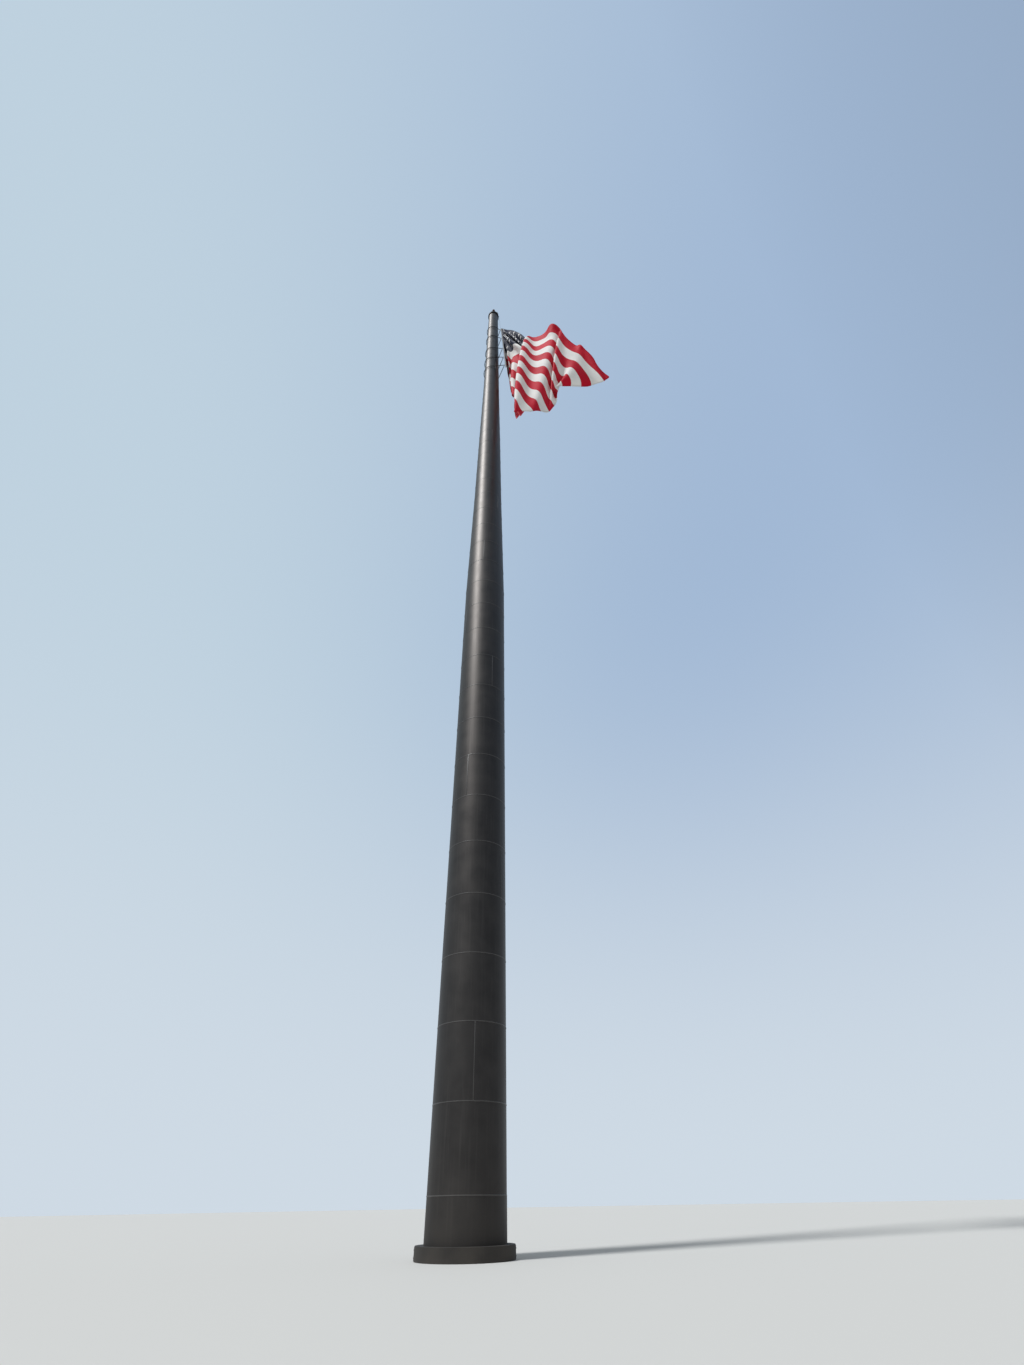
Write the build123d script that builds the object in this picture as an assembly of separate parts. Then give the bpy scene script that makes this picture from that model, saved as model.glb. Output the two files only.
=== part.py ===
"""Giant tapered steel flagpole with a revolving truck and a large flag, one tenth of full size.

Millimetres, +Z up. The origin is the centre of the base flange's underside, and the halyard leaves
the truck towards +X. The hoist of the flag leans out towards +X and -Y.
"""
from build123d import *
import math
import os

# Shaft: rolled steel plate rings, a cylinder below and a long taper above.
PLATE_RING_HEIGHT = 304.8
FIRST_SEAM_HEIGHT = 190.0
LAST_RING_HEIGHT = 52.8
BASE_DIAMETER = 335.3
# For each length of shaft: whole plate rings in it, diameter at its top, wall.
SHAFT_RINGS = [6, 7, 5, 5, 5, 5, 6]
SHAFT_DIAMETERS = [BASE_DIAMETER, BASE_DIAMETER, 290.0, 259.0, 221.0, 196.5, 164.0]
SHAFT_WALLS = [2.8, 2.6, 2.4, 2.1, 1.8, 1.5, 1.2]
WELD_BEVEL = 0.8

# Base flange and the shroud round it.
FLANGE_OUTREACH = 30.35
FLANGE_INREACH = 17.65
FLANGE_THICKNESS = 7.5
ANCHOR_OFFSET = 15.35
ANCHOR_COUNT = 12
ANCHOR_HOLE = 7.5
SHROUD_CLEARANCE = 2.8
SHROUD_HEIGHT = 44.7
SHROUD_PLATE = 1.2
SHROUD_EDGE = 0.8
SEAT_GAP = 0.3

# Service hatch at the back of the shaft.
HATCH_WIDTH = 70.0
HATCH_HEIGHT = 112.0
HATCH_RISE = 17.3
HATCH_CORNER = 18.0
HATCH_FRAME_WIDTH = 7.0
HATCH_FRAME_PROUD = 1.6
HATCH_FRAME_INSET = 3.6
HATCH_COVER_THICKNESS = 1.4
HINGE_RADIUS = 2.0
HINGE_LENGTH = 16.0
HINGE_INSET = 24.0
HANDLE_LENGTH = 16.0
HANDLE_THICKNESS = 3.0

# Shaft head and slewing bearing of the truck.
HEAD_PLATE_MARGIN = 2.0
HEAD_PLATE_THICKNESS = 8.0
RACE_MARGIN = 9.0
RACE_WIDTH = 19.0
RACE_HEIGHT = 10.0
SLEW_HEIGHT = 35.7

# Revolving truck.
RIM_OVERHANG = 11.0
RIM_WALL = 4.0
RIM_LIP = 7.5
RIM_CLEARANCE = 6.0
DECK_THICKNESS = 8.0
SPINDLE_CLEARANCE = 7.0
FAIRLEAD_CLEARANCE = 2.75
HOUSING_WIDTH = 80.0
HOUSING_BACK = 40.0
HOUSING_MARGIN = 5.35
HOUSING_HEIGHT = 160.0
HOUSING_WALL = 3.0
SLOT_CLEARANCE = 2.5
SHEAVE_DIAMETER = 59.0
SHEAVE_WIDTH = 9.0
SHEAVE_RISE = 16.5
GROOVE_DEPTH = 2.4
PIN_DIAMETER = 8.0
PIN_FIT = 0.05
CHEEK_THICKNESS = 4.0
CHEEK_GAP = 1.0

# Fixed spindle with the beacon and lightning rod.
SPINDLE_DIAMETER = 30.0
SPINDLE_FOOT_MARGIN = 15.0
SPINDLE_FOOT_THICKNESS = 6.0
SPINDLE_REACH = 148.0
BEACON_BASE_MARGIN = 5.0
BEACON_BASE_HEIGHT = 18.0
LENS_DIAMETER = 44.0
LENS_HEIGHT = 46.0
BEACON_CAP_HEIGHT = 10.0
ROD_DIAMETER = 5.0
ROD_LENGTH = 70.0

# Halyard and the hoist of the flag.
HALYARD_DIAMETER = 2.5
HALYARD_FOOT_X = 193.0
HALYARD_FOOT_Y = -150.0
HALYARD_TAIL = 6.4
HOIST_DROP = 827.0
CLAMP_RADIUS = 4.2
CLAMP_LENGTH = 20.0
ROPE_FIT = 0.3
HEADING_WIDTH = 16.0
HEADING_THICKNESS = 3.0
HEADING_BEARING = -32.0

# Beaded slings that hold the hoist to the shaft.
SLING_SHARES = [0.035, 0.269, 0.541, 0.752, 0.935]
SLING_BEADS = 22
SLING_BEAD_RADIUS = 5.0
SLING_CORD_RADIUS = 1.6
SLING_CLEARANCE = 5.5

# Flag: 70 ft by 140 ft in full size, blown towards the front right and hanging low.
FLAG_HOIST = 2133.6
FLAG_FLY = 4267.2
FLAG_THICKNESS = 3.0
FLAG_HEM = 24.0
FLAG_COLUMNS = 20
FLAG_ROWS = 13

# Its free edges: share of the edge, then the offset from the head of the hoist, in flies.
UPPER_EDGE = [
    (0.20, 0.038, -0.048, -0.191),
    (0.40, 0.089, -0.088, -0.374),
    (0.53, 0.137, -0.120, -0.416),
    (0.66, 0.176, -0.174, -0.573),
    (0.80, 0.218, -0.174, -0.723),
    (0.93, 0.275, -0.151, -0.828),
    (1.00, 0.306, -0.146, -0.887),
]
FLY_EDGE = [
    (0.15, 0.248, -0.133, -0.927),
    (0.31, 0.180, -0.140, -0.964),
    (0.46, 0.130, -0.157, -1.018),
    (0.69, 0.119, -0.136, -1.129),
    (0.85, 0.070, -0.158, -1.188),
    (1.00, 0.017, -0.172, -1.238),
]
LOWER_EDGE = [
    (0.12, 0.022, 0.050, -0.475),
    (0.25, 0.065, 0.060, -0.470),
    (0.50, 0.056, -0.057, -0.710),
    (0.75, 0.036, -0.100, -0.985),
    (1.00, 0.017, -0.172, -1.238),
]

# Its swells: middle as shares of fly and hoist, half widths, then the offset at the middle, in flies.
FLAG_SWELLS = [
    (0.50, 0.50, 0.50, 0.50, 0.020, -0.015, -0.080),
    (0.30, 0.45, 0.30, 0.45, -0.015, -0.055, -0.030),
    (0.70, 0.60, 0.30, 0.40, -0.060, -0.015, 0.020),
    (0.12, 0.65, 0.12, 0.35, 0.035, 0.000, 0.020),
]


# Heights and diameters that follow from the sizes above.
SHAFT_TOP = FIRST_SEAM_HEIGHT + sum(SHAFT_RINGS) * PLATE_RING_HEIGHT + LAST_RING_HEIGHT
PLATE_TOP = SHAFT_TOP + HEAD_PLATE_THICKNESS
RACE_TOP = PLATE_TOP + RACE_HEIGHT
DECK_UNDER = RACE_TOP + SEAT_GAP + SLEW_HEIGHT
RIM_TOP = DECK_UNDER + DECK_THICKNESS
HOUSING_TOP = RIM_TOP + HOUSING_HEIGHT
SPINDLE_TOP = HOUSING_TOP + SPINDLE_REACH
HOIST_TOP = RIM_TOP - HOIST_DROP
HALYARD_FOOT = (HALYARD_FOOT_X, HALYARD_FOOT_Y, HOIST_TOP - FLAG_HOIST - HALYARD_TAIL)
HATCH_SILL = SHROUD_HEIGHT + HATCH_RISE
FLANGE_DIAMETER = BASE_DIAMETER + 2 * FLANGE_OUTREACH
FLANGE_BORE = BASE_DIAMETER - 2 * FLANGE_INREACH
ANCHOR_CIRCLE = BASE_DIAMETER + 2 * ANCHOR_OFFSET
SHROUD_DIAMETER = FLANGE_DIAMETER + 2 * (SHROUD_CLEARANCE + SHROUD_PLATE)
HEAD_PLATE_DIAMETER = SHAFT_DIAMETERS[-1] + 2 * HEAD_PLATE_MARGIN
RACE_OUTER = HEAD_PLATE_DIAMETER - 2 * RACE_MARGIN
RACE_INNER = RACE_OUTER - 2 * RACE_WIDTH
RIM_DIAMETER = HEAD_PLATE_DIAMETER + 2 * RIM_OVERHANG
DECK_HOLE = SPINDLE_DIAMETER + 2 * SPINDLE_CLEARANCE
SPINDLE_FOOT = SPINDLE_DIAMETER + 2 * SPINDLE_FOOT_MARGIN
BEACON_BASE_DIAMETER = LENS_DIAMETER + 2 * BEACON_BASE_MARGIN
FAIRLEAD_HOLE = HALYARD_DIAMETER + 2 * FAIRLEAD_CLEARANCE
SLOT_WIDTH = SHEAVE_WIDTH + 2 * SLOT_CLEARANCE
SHEAVE_HEIGHT = SHEAVE_RISE + SHEAVE_DIAMETER / 2


def shaft_joints():
    """Height, outer diameter and wall at the top of each length of shaft, from the ground up."""
    joints = []
    height = FIRST_SEAM_HEIGHT
    for rings, diameter, wall in zip(SHAFT_RINGS, SHAFT_DIAMETERS, SHAFT_WALLS):
        height += rings * PLATE_RING_HEIGHT
        joints.append((height, diameter, wall))
    return joints[:-1] + [(SHAFT_TOP, SHAFT_DIAMETERS[-1], SHAFT_WALLS[-1])]


def shaft_radius(height):
    """Outer radius of the shaft at a height."""
    low, low_diameter = FLANGE_THICKNESS, BASE_DIAMETER
    for high, diameter, _ in shaft_joints():
        if height <= high:
            share = max(0.0, (height - low) / (high - low))
            return (low_diameter + share * (diameter - low_diameter)) / 2
        low, low_diameter = high, diameter
    return low_diameter / 2


def turned(points):
    """A solid turned about the pole's axis from its half section, given as (radius, height)."""
    section = Polyline(*[(r, 0, z) for r, z in points], close=True)
    return revolve(make_face(section), Axis.Z)


def tube(outer, inner, low, high):
    """A plain ring about the pole's axis, given by its radii and heights."""
    return turned([(inner, low), (outer, low), (outer, high), (inner, high)])


def shaft_pieces():
    """Tapered tubes, each with a weld bevel round its upper edge."""
    pieces = {}
    low, low_radius = FLANGE_THICKNESS, BASE_DIAMETER / 2
    for number, (high, diameter, wall) in enumerate(shaft_joints(), start=1):
        radius = diameter / 2
        pieces[f"shaft_{number}"] = turned([
            (low_radius - wall, low),
            (low_radius, low),
            (radius, high - WELD_BEVEL),
            (radius - WELD_BEVEL, high),
            (radius - wall, high),
        ])
        low, low_radius = high, radius
    return pieces


def base_flange():
    """Flat ring under the shaft, drilled for the anchor bolts."""
    ring = tube(FLANGE_DIAMETER / 2, FLANGE_BORE / 2, 0, FLANGE_THICKNESS)
    drill = Cylinder(ANCHOR_HOLE / 2, FLANGE_THICKNESS, align=(Align.CENTER, Align.CENTER, Align.MIN))
    holes = PolarLocations(ANCHOR_CIRCLE / 2, ANCHOR_COUNT) * drill
    return ring - holes


def base_shroud():
    """Plate collar that hides the flange, open below and closed on top round the shaft."""
    outer = SHROUD_DIAMETER / 2
    inner = outer - SHROUD_PLATE
    collar = shaft_radius(SHROUD_HEIGHT) + SEAT_GAP
    under = SHROUD_HEIGHT - SHROUD_PLATE
    return turned([
        (inner, 0),
        (outer, 0),
        (outer, SHROUD_HEIGHT - SHROUD_EDGE),
        (outer - SHROUD_EDGE, SHROUD_HEIGHT),
        (collar, SHROUD_HEIGHT),
        (collar, under),
        (inner, under),
    ])


def hatch_block(margin, inner, outer):
    """Curved plate at the back of the shaft, margin wider than the hatch, between two radii."""
    width = HATCH_WIDTH + 2 * margin
    height = HATCH_HEIGHT + 2 * margin
    outline = RectangleRounded(width, height, HATCH_CORNER + margin)
    middle = HATCH_SILL + HATCH_HEIGHT / 2
    plane = Plane(origin=(0, 0, middle), x_dir=(-1, 0, 0), z_dir=(0, 1, 0))
    prism = extrude(plane * outline, amount=outer + HATCH_WIDTH)
    low = HATCH_SILL - HATCH_HEIGHT
    high = HATCH_SILL + 2 * HATCH_HEIGHT
    return prism & tube(outer, inner, low, high)


def hatch_pieces():
    """Frame welded into the shaft, its cover, two hinges and a handle."""
    face = BASE_DIAMETER / 2
    frame_out = face + HATCH_FRAME_PROUD
    frame_in = face - HATCH_FRAME_INSET
    frame = hatch_block(HATCH_FRAME_WIDTH, frame_in, frame_out) - hatch_block(0, frame_in - 1, frame_out + 1)
    cover = hatch_block(-SEAT_GAP, frame_out - HATCH_COVER_THICKNESS, frame_out)
    edge = HATCH_WIDTH / 2
    hinge_y = math.sqrt(frame_out**2 - edge**2) + HINGE_RADIUS + SEAT_GAP
    hinges = []
    middle = HATCH_SILL + HATCH_HEIGHT / 2
    for offset in (HINGE_INSET - HATCH_HEIGHT / 2, HATCH_HEIGHT / 2 - HINGE_INSET):
        hinges.append(Pos(edge, hinge_y, middle + offset) * Cylinder(HINGE_RADIUS, HINGE_LENGTH))
    handle_x = HANDLE_LENGTH - edge
    handle_y = frame_out + HANDLE_THICKNESS / 2 + SEAT_GAP
    handle = Pos(handle_x, handle_y, middle) * Box(HANDLE_LENGTH, HANDLE_THICKNESS, HANDLE_THICKNESS)
    return {
        "hatch_frame": frame,
        "hatch_cover": cover,
        "hatch_hinges": Compound(children=hinges),
        "hatch_handle": handle,
    }


def head_pieces():
    """Plate that closes the shaft, the fixed race on it, the spindle, the beacon and the rod."""
    plate = tube(HEAD_PLATE_DIAMETER / 2, SPINDLE_DIAMETER / 2, SHAFT_TOP, PLATE_TOP)
    race = tube(RACE_OUTER / 2, RACE_INNER / 2, PLATE_TOP, RACE_TOP)
    foot_top = PLATE_TOP + SPINDLE_FOOT_THICKNESS
    spindle = turned([
        (0, PLATE_TOP),
        (SPINDLE_FOOT / 2, PLATE_TOP),
        (SPINDLE_FOOT / 2, foot_top),
        (SPINDLE_DIAMETER / 2, foot_top),
        (SPINDLE_DIAMETER / 2, SPINDLE_TOP),
        (0, SPINDLE_TOP),
    ])
    base_top = SPINDLE_TOP + BEACON_BASE_HEIGHT
    lens_top = base_top + LENS_HEIGHT
    cap_top = lens_top + BEACON_CAP_HEIGHT
    lens = LENS_DIAMETER / 2
    rod = ROD_DIAMETER / 2
    base = tube(BEACON_BASE_DIAMETER / 2, 0, SPINDLE_TOP, base_top)
    glass = turned([(0, base_top), (lens, base_top), (lens, lens_top), (0, lens_top)])
    cap = turned([(0, lens_top), (lens + rod, lens_top), (rod, cap_top), (0, cap_top)])
    point = turned([
        (0, cap_top),
        (rod, cap_top),
        (rod, cap_top + ROD_LENGTH - ROD_DIAMETER),
        (0, cap_top + ROD_LENGTH),
    ])
    return {
        "head_plate": plate,
        "bearing_race": race,
        "spindle": spindle,
        "beacon_base": base,
        "beacon_lens": glass,
        "beacon_cap": cap,
        "lightning_rod": point,
    }


def sheave_centre():
    """Axis point of the sheave, whose outer groove carries the halyard clear of the rim."""
    groove = SHEAVE_DIAMETER / 2 - GROOVE_DEPTH + HALYARD_DIAMETER / 2
    reach = RIM_DIAMETER / 2 + RIM_CLEARANCE
    return Vector(reach - groove, 0, RIM_TOP + SHEAVE_HEIGHT)


def rope_radius():
    """Distance of the halyard's centreline from the sheave's axis."""
    return SHEAVE_DIAMETER / 2 - GROOVE_DEPTH + HALYARD_DIAMETER / 2 + ROPE_FIT


def truck_pieces():
    """Rim and deck, upper race, housing, sheave with its pin and cheeks."""
    lip_low = PLATE_TOP + RIM_CLEARANCE
    outer = RIM_DIAMETER / 2
    rim = turned([
        (outer - RIM_LIP, lip_low),
        (outer, lip_low),
        (outer, RIM_TOP),
        (DECK_HOLE / 2, RIM_TOP),
        (DECK_HOLE / 2, DECK_UNDER),
        (outer - RIM_WALL, DECK_UNDER),
        (outer - RIM_WALL, lip_low + RIM_WALL),
        (outer - RIM_LIP, lip_low + RIM_WALL),
    ])
    centre = sheave_centre()
    fall = centre.X - rope_radius()
    fairlead = Pos(fall, 0, RIM_TOP) * Cylinder(FAIRLEAD_HOLE / 2, 4 * DECK_THICKNESS)
    rim -= fairlead
    slew = tube(RACE_OUTER / 2, RACE_INNER / 2, RACE_TOP + SEAT_GAP, DECK_UNDER)
    return {
        "truck_rim": rim,
        "slewing_ring": slew,
        "truck_housing": housing(),
        "sheave": sheave(centre),
        "sheave_pin": Pos(centre) * Rot(90, 0, 0) * Cylinder(PIN_DIAMETER / 2, pin_length()),
        "sheave_cheeks": sheave_cheeks(centre),
    }


def housing_front():
    """Reach of the housing past the pole's axis, just clear of the sheave's cheeks."""
    return sheave_centre().X + cheek_width() / 2 + HOUSING_MARGIN


def housing_outline(wall):
    """Plan of the housing, a box with round ends, set in by a wall."""
    radius = HOUSING_WIDTH / 2 - wall
    length = HOUSING_BACK + housing_front() - 2 * wall
    middle = (housing_front() - HOUSING_BACK) / 2
    return Pos(middle, 0, RIM_TOP) * SlotOverall(length, 2 * radius)


def housing():
    """Weather cover over the sheave, open below, with a slot in front for the halyard."""
    shell = extrude(housing_outline(0), amount=HOUSING_HEIGHT)
    hollow = extrude(housing_outline(HOUSING_WALL), amount=HOUSING_HEIGHT - HOUSING_WALL)
    neck = Pos(0, 0, HOUSING_TOP) * Cylinder(DECK_HOLE / 2, 4 * HOUSING_WALL)
    slot_low = RIM_TOP + HOUSING_WALL
    slot_high = RIM_TOP + SHEAVE_HEIGHT + SHEAVE_DIAMETER / 2 + 2 * HOUSING_WALL
    slot = Pos(housing_front(), 0, (slot_low + slot_high) / 2) * Box(
        HOUSING_WIDTH / 2, SLOT_WIDTH, slot_high - slot_low
    )
    return shell - hollow - neck - slot


def sheave(centre):
    """Grooved wheel, bored for its pin."""
    radius = SHEAVE_DIAMETER / 2
    half = SHEAVE_WIDTH / 2
    bore = PIN_DIAMETER / 2 + PIN_FIT
    section = Polyline(
        (bore, 0, -half),
        (radius, 0, -half),
        (radius - GROOVE_DEPTH, 0, -HALYARD_DIAMETER / 2),
        (radius - GROOVE_DEPTH, 0, HALYARD_DIAMETER / 2),
        (radius, 0, half),
        (bore, 0, half),
        close=True,
    )
    return Pos(centre) * Rot(90, 0, 0) * revolve(make_face(section), Axis.Z)


def pin_length():
    """The pin reaches through the sheave and the holes of both cheeks."""
    return SHEAVE_WIDTH + 2 * (CHEEK_GAP + CHEEK_THICKNESS)


def cheek_width():
    """Width of a cheek along X, three times its pin."""
    return 3 * PIN_DIAMETER


def sheave_cheeks(centre):
    """Two plates on the deck that hold the sheave's pin."""
    cheeks = []
    rise = SHEAVE_HEIGHT + PIN_DIAMETER
    offset = (SHEAVE_WIDTH + CHEEK_THICKNESS) / 2 + CHEEK_GAP
    hole = Pos(centre) * Rot(90, 0, 0) * Cylinder(PIN_DIAMETER / 2 + PIN_FIT, 4 * pin_length())
    for side in (-1, 1):
        plate = Pos(centre.X, side * offset, RIM_TOP + rise / 2) * Box(
            cheek_width(), CHEEK_THICKNESS, rise
        )
        cheeks.append(plate - hole)
    return Compound(children=cheeks)


def halyard_top():
    """Where the halyard leaves the sheave."""
    centre = sheave_centre()
    return Vector(centre.X + rope_radius(), 0, centre.Z)


def halyard_at(height):
    """Point of the halyard's outer fall at a height."""
    top, foot = halyard_top(), Vector(*HALYARD_FOOT)
    return top + (foot - top) * ((top.Z - height) / (top.Z - foot.Z))


def halyard():
    """Wire rope from inside the truck over the sheave and down to the flag's lower corner."""
    centre = sheave_centre()
    crown = centre.Z + rope_radius()
    inner = centre.X - rope_radius()
    start = (inner, 0, DECK_UNDER)
    foot = Vector(*HALYARD_FOOT)
    lean = (foot - halyard_top()).normalized()
    shoulder = halyard_top() - lean * (rope_radius() / -lean.Z)
    path = FilletPolyline(start, (inner, 0, crown), shoulder, foot, radius=rope_radius() * 0.98)
    section = Plane(origin=start, z_dir=(0, 0, 1)) * Circle(HALYARD_DIAMETER / 2)
    return sweep(section, path)


def bearing_vector(degrees):
    """Level unit vector at a bearing from +X."""
    return Vector(math.cos(math.radians(degrees)), math.sin(math.radians(degrees)), 0)


def hoist_edge(share):
    """Point where the cloth meets the heading, from 0 at the top to 1 at the lower corner."""
    lean = Vector(*HALYARD_FOOT) - halyard_top()
    drop = FLAG_HOIST * abs(lean.Z) / lean.length
    spot = halyard_at(HOIST_TOP - share * drop)
    return spot + bearing_vector(HEADING_BEARING) * (2 * CLAMP_RADIUS + HEADING_WIDTH)


def prism(corners, push):
    """Solid between a flat outline and the same outline pushed along a vector."""
    return Solid.extrude(Face(Wire.make_polygon(corners)), push)


def heading():
    """Canvas band along the hoist."""
    outward = bearing_vector(HEADING_BEARING)
    side = bearing_vector(HEADING_BEARING + 90) * HEADING_THICKNESS
    top, foot = hoist_edge(0) - side / 2, hoist_edge(1) - side / 2
    inset = outward * (HEADING_WIDTH - SEAT_GAP)
    edge = outward * SEAT_GAP
    return prism([top - inset, top - edge, foot - edge, foot - inset], side)


def sling_heights():
    """Heights of the slings, spread down the hoist."""
    return [HOIST_TOP - share * FLAG_HOIST for share in SLING_SHARES]


def clamp_heights():
    """Heights of the snap hooks: the hoist's top, then one at each sling."""
    return [HOIST_TOP - CLAMP_LENGTH] + sling_heights()


def snap_hooks():
    """Sleeves on the halyard that hold the heading and the slings."""
    hooks = []
    lean = (halyard_top() - Vector(*HALYARD_FOOT)).normalized()
    outward = bearing_vector(HEADING_BEARING)
    for height in clamp_heights():
        spot = halyard_at(height)
        plane = Plane(origin=spot, z_dir=lean)
        sleeve = plane * Cylinder(CLAMP_RADIUS, CLAMP_LENGTH)
        arm_length = 2 * CLAMP_RADIUS
        arm_plane = Plane(origin=spot + outward * (arm_length / 2), x_dir=outward, z_dir=(0, 0, 1))
        arm = arm_plane * Box(arm_length, HEADING_THICKNESS, CLAMP_LENGTH / 2)
        bore = plane * Cylinder(HALYARD_DIAMETER / 2 + ROPE_FIT, 2 * CLAMP_LENGTH)
        hooks.append(sleeve + arm - bore)
    return Compound(children=hooks)


def sling_route(height):
    """Closed loop round the shaft, drawn out to a point at the halyard, and its length."""
    spot = halyard_at(height)
    bearing = math.atan2(spot.Y, spot.X)
    apex = math.hypot(spot.X, spot.Y) - CLAMP_RADIUS - SLING_CORD_RADIUS - SEAT_GAP
    chord = math.pi / SLING_BEADS
    radius = (shaft_radius(height) + SLING_CLEARANCE + SLING_BEAD_RADIUS) / math.cos(chord)
    half_gap = math.acos(radius / apex)
    leg = math.sqrt(apex**2 - radius**2)
    arc = radius * (2 * math.pi - 2 * half_gap)
    return height, bearing, apex, radius, half_gap, leg, arc


def sling_point(route, distance):
    """Point of a sling's loop at a distance along it from its outer end."""
    height, bearing, apex, radius, half_gap, leg, arc = route
    if distance > leg + arc:
        x, y = sling_leg(apex, radius, half_gap, leg, 2 * leg + arc - distance, -1)
    elif distance < leg:
        x, y = sling_leg(apex, radius, half_gap, leg, distance, 1)
    else:
        angle = half_gap + (distance - leg) / radius
        x, y = radius * math.cos(angle), radius * math.sin(angle)
    turn_cos, turn_sin = math.cos(bearing), math.sin(bearing)
    return Vector(x * turn_cos - y * turn_sin, x * turn_sin + y * turn_cos, height)


def sling_leg(apex, radius, half_gap, leg, distance, side):
    """Point on one of the two straight legs between the apex and the round part."""
    share = distance / leg
    x = apex + share * (radius * math.cos(half_gap) - apex)
    y = side * share * radius * math.sin(half_gap)
    return x, y


def sling(height):
    """String of beads, each thick in the middle and joined to the next at a narrow neck."""
    route = sling_route(height)
    total = 2 * route[5] + route[6]
    step = total / SLING_BEADS
    necks = [sling_point(route, number * step) for number in range(SLING_BEADS)]
    level = Vector(0, 0, 1)
    beads = []
    for number in range(SLING_BEADS):
        before, start = necks[number - 1], necks[number]
        end, after = necks[(number + 1) % SLING_BEADS], necks[(number + 2) % SLING_BEADS]
        slices = [
            (start, end - before, SLING_CORD_RADIUS),
            ((start + end) / 2, end - start, SLING_BEAD_RADIUS),
            (end, after - start, SLING_CORD_RADIUS),
        ]
        sketches = []
        for spot, along, size in slices:
            if number in (0, SLING_BEADS - 1) and spot == necks[0]:
                along = Vector(-math.sin(route[1]), math.cos(route[1]), 0)
            plane = Plane(origin=spot, x_dir=level, z_dir=along)
            sketches.append(plane * RegularPolygon(size, 6))
        beads.append(loft(sketches, ruled=True))
    return beads[0].fuse(*beads[1:])


def edge_point(guides, share):
    """Offset of a free edge at a share of its length, on a smooth line through its guides."""
    place = 0
    while place < len(guides) - 2 and share > guides[place + 1][0]:
        place += 1
    near, far = guides[place], guides[place + 1]
    before, after = guides[max(place - 1, 0)], guides[min(place + 2, len(guides) - 1)]
    width = far[0] - near[0]
    step = (share - near[0]) / width
    leave = (Vector(*far[1:]) - Vector(*before[1:])) * (width / (far[0] - before[0]))
    reach = (Vector(*after[1:]) - Vector(*near[1:])) * (width / (after[0] - near[0]))
    bend = 3 * step**2 - 2 * step**3
    start, end = Vector(*near[1:]), Vector(*far[1:])
    return (
        start * (1 - bend)
        + end * bend
        + leave * (step**3 - 2 * step**2 + step)
        + reach * (step**3 - step**2)
    )


def swelling(fly, hoist):
    """Offset of the cloth from the surface that its four edges would span."""
    offset = Vector(0, 0, 0)
    for middle, level, width, height, x, y, z in FLAG_SWELLS:
        along = max(0.0, 1 - ((fly - middle) / width) ** 2)
        down = max(0.0, 1 - ((hoist - level) / height) ** 2)
        offset += Vector(x, y, z) * (along * down)
    return offset


def flag_point(fly, hoist):
    """Point of the cloth at a share of its fly and of its hoist, both from 0 to 1."""
    head, foot = hoist_edge(0), hoist_edge(1)
    root = (0.0, 0.0, 0.0, 0.0)
    corner = (foot - head) / FLAG_FLY
    upper = edge_point([root] + UPPER_EDGE, fly)
    lower = edge_point([(0.0, corner.X, corner.Y, corner.Z)] + LOWER_EDGE, fly)
    outer = edge_point([(0.0,) + UPPER_EDGE[-1][1:]] + FLY_EDGE, hoist)
    high, low = Vector(*UPPER_EDGE[-1][1:]), Vector(*FLY_EDGE[-1][1:])
    spanned = (
        upper * (1 - hoist)
        + lower * hoist
        + corner * (hoist * (1 - fly))
        + outer * fly
        - high * (fly * (1 - hoist))
        - low * (fly * hoist)
        - corner * ((1 - fly) * hoist)
    )
    return head + (spanned + swelling(fly, hoist)) * FLAG_FLY


def cloth_grid():
    """Points of the cloth in columns along the fly, each from the upper to the lower edge."""
    hem = bearing_vector(HEADING_BEARING) * FLAG_HEM
    columns = [[hoist_edge(row / FLAG_ROWS) for row in range(FLAG_ROWS + 1)]]
    columns.append([spot + hem for spot in columns[0]])
    for column in range(2, FLAG_COLUMNS + 1):
        fly = (column - 1) / (FLAG_COLUMNS - 1)
        columns.append([flag_point(fly, row / FLAG_ROWS) for row in range(FLAG_ROWS + 1)])
    return columns


def cloth_normal(grid, column, row):
    """Unit normal of the cloth at a grid point, level and square to the heading at the hoist."""
    if column == 0:
        return bearing_vector(HEADING_BEARING - 90)
    here = grid[column][row]
    along = (here - grid[column - 1][row]).normalized()
    down = Vector(0, 0, 0)
    if column < FLAG_COLUMNS:
        along += (grid[column + 1][row] - here).normalized()
    if row > 0:
        down += (here - grid[column][row - 1]).normalized()
    if row < FLAG_ROWS:
        down += (grid[column][row + 1] - here).normalized()
    return down.cross(along).normalized()


def flag():
    """Cloth as one thin closed solid of flat facets."""
    grid = cloth_grid()
    front, back = [], []
    for column, spots in enumerate(grid):
        normals = [cloth_normal(grid, column, row) * (FLAG_THICKNESS / 2) for row in range(FLAG_ROWS + 1)]
        front.append([spot - normal for spot, normal in zip(spots, normals)])
        back.append([spot + normal for spot, normal in zip(spots, normals)])
    faces = []
    for column in range(FLAG_COLUMNS):
        for row in range(FLAG_ROWS):
            for sheet in (front, back):
                a, b = sheet[column][row], sheet[column + 1][row]
                c, d = sheet[column + 1][row + 1], sheet[column][row + 1]
                faces += [facet(a, b, c), facet(a, c, d)]
    for column in range(FLAG_COLUMNS):
        for row in (0, FLAG_ROWS):
            a, b = front[column][row], front[column + 1][row]
            c, d = back[column + 1][row], back[column][row]
            faces += [facet(a, b, c), facet(a, c, d)]
    for row in range(FLAG_ROWS):
        for column in (0, FLAG_COLUMNS):
            a, b = front[column][row], front[column][row + 1]
            c, d = back[column][row + 1], back[column][row]
            faces += [facet(a, b, c), facet(a, c, d)]
    return Solid(Shell(faces))


def facet(a, b, c):
    """Flat triangle."""
    return Face(Wire.make_polygon([a, b, c]))


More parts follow.
